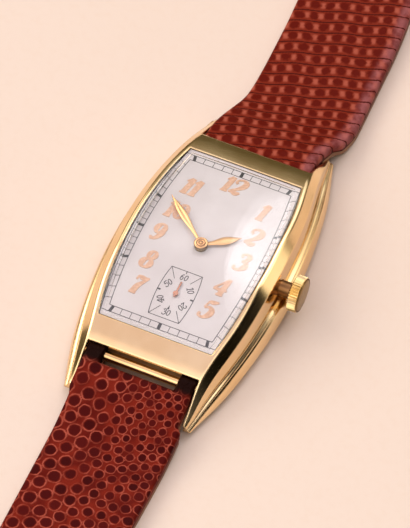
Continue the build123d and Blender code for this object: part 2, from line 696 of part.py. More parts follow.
def fourth_wheel():
    wheel = spoked_wheel(FOURTH_TEETH, FOURTH_MODULE, FOURTH_WHEEL_BASE, FOURTH_PLACE, FOURTH_PHASE)
    pinion_top = THIRD_WHEEL_TOP + LEVEL_GAP
    wheel += gear(
        FOURTH_PINION_TEETH, THIRD_MODULE, FOURTH_WHEEL_TOP, pinion_top, FOURTH_PLACE, FOURTH_PHASE
    )
    wheel += staff(FOURTH_PLACE, BEARING_BASE, BEARING_TOP)
    return wheel + disc(PIVOT_RADIUS, BEARING_TOP, seconds_hand_base() + HAND_THICKNESS, FOURTH_PLACE)


def escape_wheel():
    bottom = PALLET_BASE
    top = PALLET_BASE + PALLET_THICKNESS
    step = 2 * pi / ESCAPE_TEETH
    points = []
    for tooth in range(ESCAPE_TEETH):
        points.append(polar(ESCAPE_ROOT_RADIUS, tooth * step))
        points.append(polar(ESCAPE_RADIUS, (tooth + ESCAPE_LEAN_SHARE) * step))
        points.append(polar(ESCAPE_ROOT_RADIUS, (tooth + ESCAPE_LEAN_SHARE) * step))
    outline = Polygon(*points, align=None)
    wheel = Pos(ESCAPE_PLACE[0], ESCAPE_PLACE[1], bottom) * extrude(outline, top - bottom)
    hub_radius = STAFF_RADIUS + WHEEL_RIM / 2
    rim_radius = ESCAPE_ROOT_RADIUS + WHEEL_RIM / 2
    wheel -= spoke_windows(rim_radius, bottom, top, ESCAPE_PLACE, hub_radius)
    wheel += gear(
        ESCAPE_PINION_TEETH,
        FOURTH_MODULE,
        FOURTH_WHEEL_BASE - LEVEL_GAP,
        FOURTH_WHEEL_TOP + LEVEL_GAP,
        ESCAPE_PLACE,
        ESCAPE_PHASE,
    )
    return wheel + staff(ESCAPE_PLACE, BEARING_BASE, BEARING_TOP)


def polar(radius, angle):
    return (radius * cos(angle), radius * sin(angle))


def pallet_fork():
    """Lever with two pallet stones by the escape wheel and a fork by the balance roller."""
    bottom = PALLET_BASE
    top = PALLET_BASE + PALLET_THICKNESS
    half_arm = PALLET_ARM_WIDTH / 2
    fork_reach = PALLET_BALANCE_DISTANCE - ROLLER_RADIUS - FORK_TIP_GAP
    stem = block((0, fork_reach), (-half_arm, half_arm), (bottom, top))
    head = block((fork_reach - FORK_SLOT_LENGTH, fork_reach), (-FORK_WIDTH, FORK_WIDTH), (bottom, top))
    slot_x = (fork_reach - FORK_SLOT_LENGTH, fork_reach + OVERRUN)
    head -= block(slot_x, (-FORK_SLOT_WIDTH / 2, FORK_SLOT_WIDTH / 2), (bottom, top))
    lever = stem + head
    spread = ESCAPE_RADIUS * PALLET_SPREAD_SHARE
    cross_arm = block((-half_arm, half_arm), (-spread, spread), (bottom, top))
    lever += cross_arm
    for side in (-1, 1):
        stone_y = sorted((side * (spread - PALLET_ARM_WIDTH), side * spread))
        lever += block((-PALLET_STONE_LENGTH, 0), stone_y, (bottom, top))
    lever = turned(lever, BALANCE_ANGLE * 180 / pi, PALLET_PLACE)
    return lever + staff(PALLET_PLACE, BEARING_BASE, BEARING_TOP)


def balance_wheel():
    """Rim with two arms, timing screws, staff and roller with its impulse pin."""
    rim = disc(BALANCE_RADIUS, BALANCE_BASE, BALANCE_TOP, BALANCE_PLACE)
    rim -= disc(BALANCE_RADIUS - BALANCE_RIM, BALANCE_BASE, BALANCE_TOP, BALANCE_PLACE)
    inner = BALANCE_RADIUS - BALANCE_RIM / 2
    arm = block((-inner, inner), (-SPOKE_WIDTH / 2, SPOKE_WIDTH / 2), (BALANCE_BASE, BALANCE_TOP))
    wheel = rim + turned(arm, 0, BALANCE_PLACE)
    wheel += disc(BALANCE_HUB_RADIUS, BALANCE_BASE, BALANCE_TOP, BALANCE_PLACE)
    middle = (BALANCE_BASE + BALANCE_TOP) / 2
    head_start = BALANCE_RADIUS - BALANCE_RIM / 2
    screw = rod(BALANCE_SCREW_RADIUS, head_start, BALANCE_RADIUS + BALANCE_SCREW_LENGTH, 0, middle)
    for step in range(BALANCE_SCREWS):
        wheel += turned(screw, step * 360 / BALANCE_SCREWS, BALANCE_PLACE)
    wheel += disc(ROLLER_RADIUS, BALANCE_TOP, BALANCE_TOP + ROLLER_THICKNESS, BALANCE_PLACE)
    pin_offset = ROLLER_RADIUS - 2 * IMPULSE_PIN_RADIUS
    towards = BALANCE_ANGLE + pi
    pin_place = (
        BALANCE_PLACE[0] + pin_offset * cos(towards),
        BALANCE_PLACE[1] + pin_offset * sin(towards),
    )
    wheel += disc(IMPULSE_PIN_RADIUS, BALANCE_TOP, PALLET_BASE + PALLET_THICKNESS / 2, pin_place)
    collet_radius = HAIRSPRING_CORE_RADIUS - HAIRSPRING_THICKNESS
    wheel += disc(collet_radius, *hairspring_levels(), BALANCE_PLACE)
    return wheel + staff(BALANCE_PLACE, BEARING_BASE, BEARING_TOP)


def spiral_band(core_radius, outer_radius, turns, thickness, bottom, top, place):
    """A flat spiral spring, as one band of constant thickness."""
    steps_per_turn = 24
    count = turns * steps_per_turn
    inner = []
    outer = []
    for step in range(count + 1):
        angle = 2 * pi * step / steps_per_turn
        radius = core_radius + (outer_radius - core_radius) * step / count
        inner.append(polar(radius - thickness / 2, angle))
        outer.append(polar(radius + thickness / 2, angle))
    band = Polygon(*(outer + inner[::-1]), align=None)
    return Pos(place[0], place[1], bottom) * extrude(band, top - bottom)


def hairspring_levels():
    middle = (BRIDGE_TOP + BALANCE_BASE) / 2
    return middle - HAIRSPRING_HEIGHT / 2, middle + HAIRSPRING_HEIGHT / 2


def hairspring():
    bottom, top = hairspring_levels()
    return spiral_band(
        HAIRSPRING_CORE_RADIUS,
        HAIRSPRING_OUTER_RADIUS,
        HAIRSPRING_TURNS,
        HAIRSPRING_THICKNESS,
        bottom,
        top,
        BALANCE_PLACE,
    )


def barrel_drum():
    drum = disc(DRUM_RADIUS, DRUM_BASE, DRUM_TOP, BARREL_PLACE)
    teeth_base = DRUM_TOP - PINION_LENGTH + LEVEL_GAP
    drum += gear(BARREL_TEETH, BARREL_MODULE, teeth_base, DRUM_TOP - LEVEL_GAP, BARREL_PLACE, BARREL_PHASE)
    inside = DRUM_RADIUS - DRUM_WALL
    drum -= disc(inside, DRUM_BASE + DRUM_FLOOR, DRUM_TOP, BARREL_PLACE)
    return drum - disc(ARBOR_PIVOT_RADIUS + PIVOT_CLEARANCE, DRUM_BASE - OVERRUN, DRUM_TOP, BARREL_PLACE)


def barrel_cover():
    cover = disc(DRUM_RADIUS - DRUM_WALL, DRUM_TOP - COVER_THICKNESS, DRUM_TOP, BARREL_PLACE)
    return cover - disc(ARBOR_PIVOT_RADIUS + PIVOT_CLEARANCE, DRUM_BASE, DRUM_TOP + OVERRUN, BARREL_PLACE)


def barrel_arbor():
    core_base = DRUM_BASE + DRUM_FLOOR + PIVOT_CLEARANCE
    core_top = DRUM_TOP - COVER_THICKNESS - PIVOT_CLEARANCE
    arbor = disc(ARBOR_RADIUS, core_base, core_top, BARREL_PLACE)
    return arbor + disc(ARBOR_PIVOT_RADIUS, RATCHET_TOP, PLATE_BASE + PLATE_THICKNESS / 2, BARREL_PLACE)


def mainspring():
    bottom = DRUM_BASE + DRUM_FLOOR + PIVOT_CLEARANCE
    outer_radius = DRUM_RADIUS - DRUM_WALL - MAINSPRING_THICKNESS
    return spiral_band(
        MAINSPRING_CORE_RADIUS,
        outer_radius,
        MAINSPRING_TURNS,
        MAINSPRING_THICKNESS,
        bottom,
        bottom + MAINSPRING_HEIGHT,
        BARREL_PLACE,
    )


RATCHET_BASE = BRIDGE_BASE
RATCHET_TOP = RATCHET_BASE + RATCHET_THICKNESS


def ratchet_wheel():
    wheel = gear(RATCHET_TEETH, RATCHET_MODULE, RATCHET_BASE, RATCHET_TOP, BARREL_PLACE)
    return wheel - disc(SCREW_SHANK_RADIUS, RATCHET_BASE - OVERRUN, RATCHET_TOP + OVERRUN, BARREL_PLACE)


def crown_wheel():
    """Spur teeth towards the ratchet wheel, and a boss that meets the winding pinion."""
    wheel = gear(
        CROWN_WHEEL_TEETH, RATCHET_MODULE, RATCHET_BASE, RATCHET_TOP, CROWN_WHEEL_PLACE, CROWN_WHEEL_PHASE
    )
    boss_top = STEM_HEIGHT - WINDING_PINION_RADIUS - LEVEL_GAP
    wheel += disc(CROWN_WHEEL_BOSS_RADIUS, RATCHET_TOP, boss_top, CROWN_WHEEL_PLACE)
    bore = SCREW_SHANK_RADIUS + PIVOT_CLEARANCE
    return wheel - disc(bore, RATCHET_BASE - OVERRUN, boss_top + OVERRUN, CROWN_WHEEL_PLACE)


def slotted_head(place, bottom, top, slot_below):
    head = disc(SCREW_HEAD_RADIUS, bottom, top, place)
    half_slot = SCREW_SLOT_WIDTH / 2
    slot_z = (bottom, bottom + SCREW_SLOT_DEPTH) if slot_below else (top - SCREW_SLOT_DEPTH, top)
    x_range = (place[0] - SCREW_HEAD_RADIUS, place[0] + SCREW_HEAD_RADIUS)
    return head - block(x_range, (place[1] - half_slot, place[1] + half_slot), slot_z)


def screw_from_below(place, head_top, shank_top):
    """A screw whose slotted head faces the case back."""
    screw = slotted_head(place, head_top - SCREW_HEAD_HEIGHT, head_top, True)
    return screw + disc(SCREW_SHANK_RADIUS, head_top, shank_top, place)


def ratchet_screw():
    head_top = RATCHET_BASE
    head_base = BACK_INSIDE + LEVEL_GAP / 2
    head = disc(SCREW_HEAD_RADIUS, head_base, head_top, BARREL_PLACE)
    return head + disc(SCREW_SHANK_RADIUS, head_top, RATCHET_TOP, BARREL_PLACE)


def crown_wheel_screw():
    head_base = BACK_INSIDE + LEVEL_GAP / 2
    head = disc(SCREW_HEAD_RADIUS, head_base, RATCHET_BASE - PIVOT_CLEARANCE, CROWN_WHEEL_PLACE)
    boss_top = STEM_HEIGHT - WINDING_PINION_RADIUS - LEVEL_GAP
    shank_base = RATCHET_BASE - PIVOT_CLEARANCE
    return head + disc(SCREW_SHANK_RADIUS, shank_base, boss_top - LEVEL_GAP, CROWN_WHEEL_PLACE)


def click_place():
    reach = RATCHET_TEETH * RATCHET_MODULE / 2 + CLICK_LENGTH
    angle = radians(CLICK_ANGLE)
    return (BARREL_PLACE[0] + reach * cos(angle), BARREL_PLACE[1] + reach * sin(angle))


def click():
    """A pawl that rides on the ratchet wheel's teeth."""
    half = CLICK_WIDTH / 2
    reach = CLICK_LENGTH - ADDENDUM_SHARE * RATCHET_MODULE - LEVEL_GAP
    beak = Polygon((0, -half), (reach, -PIVOT_CLEARANCE), (reach, PIVOT_CLEARANCE), (0, half), align=None)
    pawl = extrude(beak, RATCHET_THICKNESS) + disc(CLICK_BOSS_RADIUS, 0, RATCHET_THICKNESS)
    pawl = Pos(0, 0, RATCHET_BASE) * pawl
    pawl = turned(pawl, CLICK_ANGLE + 180, click_place())
    pin_top = BRIDGE_TOP
    return pawl + disc(SCREW_SHANK_RADIUS, RATCHET_TOP, pin_top, click_place())


def click_spring():
    place = click_place()
    start = CLICK_BOSS_RADIUS + CLICK_SPRING_WIDTH + LEVEL_GAP
    blade = block(
        (-CLICK_SPRING_LENGTH / 2, CLICK_SPRING_LENGTH / 2),
        (start, start + CLICK_SPRING_WIDTH),
        (RATCHET_BASE, RATCHET_TOP),
    )
    return turned(blade, CLICK_ANGLE - 90, place)


def motion_pocket():
    """Room in the plate's dial side for the motion work and the setting work."""
    reach = MOTION_DISTANCE + MINUTE_WHEEL_TEETH * CANNON_MODULE / 2 + CANNON_MODULE + MOVEMENT_CLEARANCE
    return block((-reach, OPENING_HALF_WIDTH - OVERRUN), (-reach, reach), (PLATE_TOP, BEZEL_TOP))


def stem_channel():
    """Room in the plate for the stem, its wheels and the levers."""
    pinion = WINDING_PINION_RADIUS + MOVEMENT_CLEARANCE
    inner_x = STEM_INNER_X - MOVEMENT_CLEARANCE
    far_x = WINDING_PINION_X + WINDING_PINION_LENGTH + MOVEMENT_CLEARANCE
    near_x = WINDING_PINION_X - CLUTCH_LENGTH - CLUTCH_GAP - CLUTCH_SHIFT - MOVEMENT_CLEARANCE
    channel = rod(STEM_RADIUS + STEM_CLEARANCE, inner_x, OPENING_HALF_WIDTH + OVERRUN, 0, STEM_HEIGHT)
    channel += block((near_x, far_x), (-pinion, pinion), (PLATE_BASE - OVERRUN, BEZEL_TOP))
    finger = STEM_GROOVE_RADIUS + MOVEMENT_CLEARANCE
    channel += block((far_x, OPENING_HALF_WIDTH + OVERRUN), (-finger, finger), (STEM_HEIGHT, BEZEL_TOP))
    lever_y = (-LEVER_TAIL - MOVEMENT_CLEARANCE, LEVER_REACH + MOVEMENT_CLEARANCE)
    return channel + block((far_x, OPENING_HALF_WIDTH + OVERRUN), lever_y, (PLATE_TOP, BEZEL_TOP))


def train_places():
    return [THIRD_PLACE, FOURTH_PLACE, ESCAPE_PLACE, PALLET_PLACE, BALANCE_PLACE]


def jewel_cuts(radius, bottom, top):
    return [disc(radius, bottom, top, place) for place in train_places()]


def bridge_screw_places():
    third_reach = OPENING_HALF_LENGTH - CLAMP_INBOARD
    side = OPENING_END_HALF_WIDTH - SCREW_HEAD_RADIUS * 2
    barrel_side = side + SCREW_HEAD_RADIUS
    cock_y = BALANCE_PLACE[1] - BALANCE_RADIUS - SCREW_HEAD_RADIUS * 3
    return {
        "barrel_bridge": [(-side, third_reach), (side, third_reach), (-barrel_side, SCREW_HEAD_RADIUS * 2)],
        "train_bridge": [(-side, -third_reach), (-barrel_side, -SCREW_HEAD_RADIUS * 4)],
        "balance_cock": [(barrel_side, cock_y)],
    }


def all_bridge_screw_places():
    return [place for places in bridge_screw_places().values() for place in places]


def main_plate():
    plate = opening_prism(MOVEMENT_CLEARANCE, PLATE_BASE, DIAL_TOP_HEIGHT)
    plate -= above_arch(DIAL_BASE, OPENING_HALF_LENGTH + OVERRUN, BEZEL_TOP, RIDGE_HALF_WIDTH)
    plate -= motion_pocket()
    plate -= stem_channel()
    plate -= disc(CANNON_RADIUS + PIVOT_CLEARANCE, PLATE_BASE - OVERRUN, BEZEL_TOP)
    plate -= disc(PIVOT_RADIUS + PIVOT_CLEARANCE, PLATE_BASE, BEZEL_TOP, FOURTH_PLACE)
    plate -= disc(ARBOR_PIVOT_RADIUS + PIVOT_CLEARANCE, PLATE_BASE, PLATE_TOP, BARREL_PLACE)
    for cut in jewel_cuts(JEWEL_RADIUS, PLATE_BASE, PLATE_BASE + JEWEL_THICKNESS):
        plate -= cut
    for place in dial_foot_places():
        plate -= disc(DIAL_FOOT_RADIUS + PIVOT_CLEARANCE, PLATE_TOP - PLATE_THICKNESS / 2, BEZEL_TOP, place)
    for place in all_bridge_screw_places():
        plate += disc(SCREW_HEAD_RADIUS, BRIDGE_TOP, PLATE_BASE, place)
        plate -= disc(SCREW_SHANK_RADIUS, BRIDGE_TOP, PLATE_BASE + PLATE_THICKNESS / 2, place)
    for side in (-1, 1):
        shank = SCREW_SHANK_RADIUS
        plate -= disc(shank, PLATE_BASE, PLATE_BASE + PLATE_THICKNESS / 2, clamp_screw_place(side))
    plate -= disc(MINUTE_STUD_RADIUS, PLATE_TOP - PLATE_THICKNESS / 2, PLATE_TOP, MINUTE_WHEEL_PLACE)
    return plate


def clamp_screw_place(side):
    return (0.0, side * (OPENING_HALF_LENGTH - CLAMP_INBOARD + SCREW_HEAD_RADIUS))


def movement_clamps():
    clamps = []
    for side in (-1, 1):
        inner = OPENING_HALF_LENGTH - CLAMP_INBOARD
        outer = OPENING_HALF_LENGTH + CLAMP_REACH
        y_range = sorted((side * inner, side * outer))
        plate = block(
            (-CLAMP_HALF_WIDTH, CLAMP_HALF_WIDTH), y_range, (PLATE_BASE - CLAMP_THICKNESS, PLATE_BASE)
        )
        plate -= disc(SCREW_SHANK_RADIUS, 0, PLATE_BASE + OVERRUN, clamp_screw_place(side))
        clamps.append(plate)
    return Compound(children=[solid_of(clamp) for clamp in clamps])


def clamp_screws():
    head_top = PLATE_BASE - CLAMP_THICKNESS
    shank_top = PLATE_BASE + PLATE_THICKNESS / 2
    screws = [screw_from_below(clamp_screw_place(side), head_top, shank_top) for side in (-1, 1)]
    return Compound(children=[solid_of(screw) for screw in screws])


def solid_of(shape):
    solids = shape.solids()
    return solids[0]


def bridge_outline(y_range, x_range=None):
    """A bridge's blank: part of the movement's outline between two limits."""
    if x_range is None:
        x_range = (-RIDGE_HALF_WIDTH, RIDGE_HALF_WIDTH)
    blank = opening_prism(MOVEMENT_CLEARANCE * 2, BRIDGE_BASE, BRIDGE_TOP)
    return blank & block(x_range, y_range, (BRIDGE_BASE, BRIDGE_TOP))


def with_screw_holes(bridge, name):
    head_room = SCREW_HEAD_RADIUS + SCREW_CLEARANCE
    for place in bridge_screw_places()[name]:
        bridge -= disc(head_room, BRIDGE_BASE, BRIDGE_BASE + SCREW_HEAD_HEIGHT, place)
        bridge -= disc(SCREW_SHANK_RADIUS, BRIDGE_BASE, BRIDGE_TOP + OVERRUN, place)
    return bridge


def barrel_bridge():
    bridge = bridge_outline((BRIDGE_SPLIT_Y, OPENING_HALF_LENGTH))
    ratchet_room = RATCHET_TEETH * RATCHET_MODULE / 2 + RATCHET_MODULE + MOVEMENT_CLEARANCE
    crown_room = CROWN_WHEEL_TEETH * RATCHET_MODULE / 2 + RATCHET_MODULE + MOVEMENT_CLEARANCE
    recess_top = RATCHET_TOP + PIVOT_CLEARANCE
    bridge -= disc(ratchet_room, BRIDGE_BASE - OVERRUN, recess_top, BARREL_PLACE)
    bridge -= disc(crown_room, BRIDGE_BASE - OVERRUN, recess_top, CROWN_WHEEL_PLACE)
    bridge -= disc(ARBOR_PIVOT_RADIUS + PIVOT_CLEARANCE, BRIDGE_BASE, BRIDGE_TOP, BARREL_PLACE)
    boss_room = CROWN_WHEEL_BOSS_RADIUS + PIVOT_CLEARANCE
    bridge -= disc(boss_room, BRIDGE_BASE, BRIDGE_TOP, CROWN_WHEEL_PLACE)
    bridge -= disc(CANNON_BORE + PIVOT_CLEARANCE, BRIDGE_BASE, BRIDGE_TOP)
    spring_reach = CLICK_BOSS_RADIUS + 2 * CLICK_SPRING_WIDTH + LEVEL_GAP
    click_room = hypot(CLICK_SPRING_LENGTH / 2, spring_reach) + MOVEMENT_CLEARANCE
    bridge -= disc(click_room, BRIDGE_BASE - OVERRUN, recess_top, click_place())
    bridge -= disc(SCREW_SHANK_RADIUS + PIVOT_CLEARANCE, BRIDGE_BASE, BRIDGE_TOP, click_place())
    return with_screw_holes(bridge, "barrel_bridge")


def train_bridge():
    bridge = bridge_outline((-OPENING_HALF_LENGTH, BRIDGE_SPLIT_Y - LEVEL_GAP))
    cock_y = (COCK_Y, BRIDGE_SPLIT_Y)
    bridge -= block((COCK_SPLIT_X, RIDGE_HALF_WIDTH), cock_y, (BRIDGE_BASE, BRIDGE_TOP))
    for place in (THIRD_PLACE, FOURTH_PLACE, ESCAPE_PLACE):
        bridge -= disc(JEWEL_RADIUS, BEARING_BASE, BRIDGE_TOP, place)
    return with_screw_holes(bridge, "train_bridge")


COCK_Y = PALLET_PLACE[1] - BALANCE_HUB_RADIUS * 2


def balance_cock():
    x_range = (COCK_SPLIT_X + LEVEL_GAP, RIDGE_HALF_WIDTH)
    cock = bridge_outline((COCK_Y + LEVEL_GAP, BRIDGE_SPLIT_Y - LEVEL_GAP), x_range)
    for place in (PALLET_PLACE, BALANCE_PLACE):
        cock -= disc(JEWEL_RADIUS, BEARING_BASE, BRIDGE_TOP, place)
    stud_place = (BALANCE_PLACE[0] + HAIRSPRING_OUTER_RADIUS, BALANCE_PLACE[1])
    stud_base = BRIDGE_TOP - LEVEL_GAP
    cock += disc(HAIRSPRING_STUD_RADIUS, stud_base, hairspring_levels()[0], stud_place)
    return with_screw_holes(cock, "balance_cock")


def bridge_screws():
    head_top = BRIDGE_BASE + SCREW_HEAD_HEIGHT
    shank_top = PLATE_BASE + PLATE_THICKNESS / 2
    screws = [screw_from_below(place, head_top, shank_top) for place in all_bridge_screw_places()]
    return Compound(children=[solid_of(screw) for screw in screws])


def jewels():
    stones = []
    bore = PIVOT_RADIUS + PIVOT_CLEARANCE
    for place in train_places():
        for bottom in (BEARING_BASE, PLATE_BASE):
            stone = disc(JEWEL_RADIUS, bottom, bottom + JEWEL_THICKNESS, place)
            stones.append(stone - disc(bore, bottom, bottom + JEWEL_THICKNESS, place))
    return Compound(children=[solid_of(stone) for stone in stones])


def dial_screws():
    screws = []
    for place in dial_foot_places():
        screw_x = place[0] + DIAL_FOOT_RADIUS + DIAL_SCREW_RADIUS + PIVOT_CLEARANCE * 2
        bottom = PLATE_BASE - DIAL_SCREW_RADIUS
        screws.append(disc(DIAL_SCREW_RADIUS * 2, bottom, PLATE_BASE, (screw_x, place[1])))
    return Compound(children=[solid_of(screw) for screw in screws])


def cannon_pinion():
    tube = disc(CANNON_RADIUS, PLATE_BASE + PLATE_THICKNESS / 2, MINUTE_HAND_BASE)
    tube += gear(CANNON_TEETH, CANNON_MODULE, CANNON_GEAR_BASE, CANNON_GEAR_TOP)
    return tube - disc(CANNON_BORE, PLATE_BASE, CANNON_TOP)


CANNON_GEAR_BASE = PLATE_TOP + LEVEL_GAP / 2
CANNON_GEAR_TOP = CANNON_GEAR_BASE + MOTION_WHEEL_THICKNESS
HOUR_WHEEL_BASE = CANNON_GEAR_TOP + HOUR_WHEEL_DROP
HOUR_WHEEL_TOP = HOUR_WHEEL_BASE + MOTION_WHEEL_THICKNESS


def hour_wheel():
    wheel = gear(HOUR_WHEEL_TEETH, HOUR_MODULE, HOUR_WHEEL_BASE, HOUR_WHEEL_TOP, CENTRE, HOUR_PHASE)
    wheel += disc(HOUR_PIPE_RADIUS, HOUR_WHEEL_BASE, HOUR_HAND_BASE)
    return wheel - disc(HOUR_PIPE_BORE, PLATE_TOP, HOUR_HAND_BASE + OVERRUN)


def minute_wheel():
    wheel = gear(
        MINUTE_WHEEL_TEETH,
        CANNON_MODULE,
        CANNON_GEAR_BASE,
        CANNON_GEAR_TOP,
        MINUTE_WHEEL_PLACE,
        MINUTE_PHASE,
    )
    wheel += gear(
        MINUTE_PINION_TEETH,
        HOUR_MODULE,
        CANNON_GEAR_TOP,
        HOUR_WHEEL_TOP,
        MINUTE_WHEEL_PLACE,
        MINUTE_PHASE,
    )
    bore = MINUTE_STUD_RADIUS + PIVOT_CLEARANCE
    return wheel - disc(bore, PLATE_TOP - OVERRUN, HOUR_WHEEL_TOP + OVERRUN, MINUTE_WHEEL_PLACE)


def minute_stud():
    return disc(MINUTE_STUD_RADIUS, PLATE_TOP - PLATE_THICKNESS / 2, HOUR_WHEEL_TOP, MINUTE_WHEEL_PLACE)


def leaf_hand(length, width, hub_radius, bore, bottom, thickness, hub_height, clock_angle):
    """A leaf-shaped hand that points at a clock angle, with its round hub."""
    neck = HAND_NECK_WIDTH / 2
    tip = HAND_TIP_WIDTH / 2
    widest_y = length * HAND_WIDEST_SHARE
    right = Spline((neck, hub_radius / 2), (width / 2, widest_y), (tip, length))
    end = Line((tip, length), (-tip, length))
    left = Spline((-tip, length), (-width / 2, widest_y), (-neck, hub_radius / 2))
    root = Line((-neck, hub_radius / 2), (neck, hub_radius / 2))
    blade = Pos(0, 0, bottom) * extrude(Face(Wire([right, end, left, root])), thickness)
    hand = blade + disc(hub_radius, bottom, bottom + hub_height)
    hand -= disc(bore, bottom - OVERRUN, bottom + hub_height + OVERRUN)
    return Rot(0, 0, -clock_angle) * hand


def minute_hand():
    hand = leaf_hand(
        MINUTE_HAND_LENGTH,
        MINUTE_HAND_WIDTH,
        MINUTE_HUB_RADIUS,
        CANNON_BORE,
        MINUTE_HAND_BASE,
        HAND_THICKNESS,
        HAND_THICKNESS + HUB_TALLER,
        MINUTE_HAND_ANGLE,
    )
    return hand


def hour_hand():
    hand = leaf_hand(
        HOUR_HAND_LENGTH,
        HOUR_HAND_WIDTH,
        HOUR_HUB_RADIUS,
        CANNON_RADIUS + PIVOT_CLEARANCE,
        HOUR_HAND_BASE,
        HAND_THICKNESS,
        HAND_THICKNESS + HUB_TALLER / 2,
        HOUR_HAND_ANGLE,
    )
    return hand


def seconds_hand_base():
    return dial_surface(SMALL_SECONDS_DISTANCE) + HOUR_HAND_LIFT / 2


def seconds_hand():
    bottom = seconds_hand_base()
    top = bottom + HAND_THICKNESS
    half = SECONDS_HAND_WIDTH / 2
    blade = block((-half, half), (-SECONDS_HAND_TAIL, SECONDS_HAND_LENGTH), (bottom, top))
    hand = blade + disc(SECONDS_HUB_RADIUS, bottom, top + HUB_TALLER / 2)
    hand = Pos(FOURTH_PLACE[0], FOURTH_PLACE[1], 0) * hand
    return hand - disc(PIVOT_RADIUS, bottom - OVERRUN, top, FOURTH_PLACE)


def crown_tube():
    start_x = OPENING_HALF_WIDTH
    end_x = CROWN_INNER_X + CROWN_SKIRT_RECESS / 2 - CROWN_GAP
    tube = rod(CROWN_TUBE_RADIUS, start_x, end_x, 0, STEM_HEIGHT)
    return tube - rod(STEM_RADIUS + STEM_CLEARANCE, start_x - OVERRUN, end_x + OVERRUN, 0, STEM_HEIGHT)


def crown():
    """Fluted knob with a low domed face and a recess that covers the tube's end."""
    knob = rod(CROWN_RADIUS, CROWN_INNER_X, CROWN_OUTER_X, 0, STEM_HEIGHT)
    knob = fillet(knob.edges().filter_by(GeomType.CIRCLE).group_by(Axis.X)[-1], CROWN_FACE_ROUND)
    recess_radius = CROWN_TUBE_RADIUS + CROWN_GAP
    knob -= rod(recess_radius, CROWN_INNER_X - OVERRUN, CROWN_INNER_X + CROWN_SKIRT_RECESS, 0, STEM_HEIGHT)
    flute_end = CROWN_OUTER_X - CROWN_FACE_ROUND
    flute = rod(CROWN_FLUTE_RADIUS, CROWN_INNER_X - OVERRUN, flute_end, 0, CROWN_RADIUS)
    flutes = [Rot(step * 360 / CROWN_FLUTES, 0, 0) * flute for step in range(CROWN_FLUTES)]
    knob -= [Pos(0, 0, STEM_HEIGHT) * cutter for cutter in flutes]
    bore_end = CROWN_INNER_X + CROWN_SKIRT_RECESS + (CROWN_THICKNESS - CROWN_SKIRT_RECESS) / 2
    return knob - rod(STEM_RADIUS, CROWN_INNER_X - OVERRUN, bore_end, 0, STEM_HEIGHT)


def lever_groove():
    """Where the groove for the setting lever starts and ends along the stem."""
    start = WINDING_PINION_X + WINDING_PINION_LENGTH
    return start, start + STEM_GROOVE_WIDTH


def winding_stem():
    end_x = CROWN_INNER_X + CROWN_SKIRT_RECESS + (CROWN_THICKNESS - CROWN_SKIRT_RECESS) / 2
    stem = rod(STEM_RADIUS, STEM_INNER_X + STEM_PIVOT_LENGTH, end_x, 0, STEM_HEIGHT)
    stem += rod(STEM_GROOVE_RADIUS, STEM_INNER_X, STEM_INNER_X + STEM_PIVOT_LENGTH, 0, STEM_HEIGHT)
    start, end = lever_groove()
    ring = rod(STEM_RADIUS, start, end, 0, STEM_HEIGHT)
    return stem - (ring - rod(STEM_GROOVE_RADIUS, start, end, 0, STEM_HEIGHT))


def winding_pinion():
    outline = gear_outline(WINDING_PINION_TEETH, 2 * WINDING_PINION_RADIUS / (WINDING_PINION_TEETH + 2), 0.0)
    pinion = Rot(0, 90, 0) * extrude(outline, WINDING_PINION_LENGTH)
    pinion = Pos(WINDING_PINION_X, 0, STEM_HEIGHT) * pinion
    return pinion - rod(STEM_RADIUS + PIVOT_CLEARANCE, 0, CROWN_INNER_X, 0, STEM_HEIGHT)


def clutch_wheel():
    end_x = WINDING_PINION_X - CLUTCH_GAP
    start_x = end_x - CLUTCH_LENGTH
    wheel = rod(CLUTCH_RADIUS, start_x, end_x, 0, STEM_HEIGHT)
    groove_x = start_x + CLUTCH_LENGTH / 3
    groove = rod(CLUTCH_RADIUS, groove_x, groove_x + CLUTCH_LENGTH / 3, 0, STEM_HEIGHT)
    groove -= rod(CLUTCH_RADIUS * 2 / 3, groove_x, groove_x + CLUTCH_LENGTH / 3, 0, STEM_HEIGHT)
    return wheel - groove - rod(STEM_RADIUS + PIVOT_CLEARANCE, 0, CROWN_INNER_X, 0, STEM_HEIGHT)


def setting_lever():
    """Lever on the plate's dial side, with a finger that sits in the stem's groove."""
    bottom = PLATE_TOP + PIVOT_CLEARANCE
    top = bottom + SETTING_LEVER_THICKNESS
    start, end = lever_groove()
    x_range = (start + PIVOT_CLEARANCE, end - PIVOT_CLEARANCE)
    arm = block(x_range, (-LEVER_TAIL, LEVER_REACH), (bottom, top))
    finger = STEM_GROOVE_RADIUS
    finger_base = STEM_HEIGHT + STEM_GROOVE_RADIUS + PIVOT_CLEARANCE
    return arm + block(x_range, (-finger, finger), (finger_base, bottom))


def yoke():
    """Spring lever that lies by the clutch wheel's groove."""
    bottom = PLATE_TOP + PIVOT_CLEARANCE
    top = bottom + YOKE_THICKNESS
    clutch_x = WINDING_PINION_X - CLUTCH_GAP - CLUTCH_LENGTH / 2
    half = CLUTCH_LENGTH / 6 - PIVOT_CLEARANCE
    start_y = -CLUTCH_RADIUS * 2 / 3 - PIVOT_CLEARANCE
    end_y = -YOKE_LENGTH
    shelf_y = start_y - YOKE_WIDTH
    fork = block((clutch_x - half, clutch_x + half), (shelf_y, start_y), (STEM_HEIGHT, top))
    return fork + block((clutch_x - YOKE_WIDTH, clutch_x + YOKE_WIDTH), (end_y, shelf_y), (bottom, top))


def spring_bar(side):
    half = GAP_HALF - BAR_END_GAP
    tube = rod(BAR_RADIUS, -half, half, side * BAR_Y, BAR_HEIGHT)
    bore = BAR_PIN_RADIUS + BAR_PIN_CLEARANCE
    return tube - rod(bore, -half - OVERRUN, half + OVERRUN, side * BAR_Y, BAR_HEIGHT)


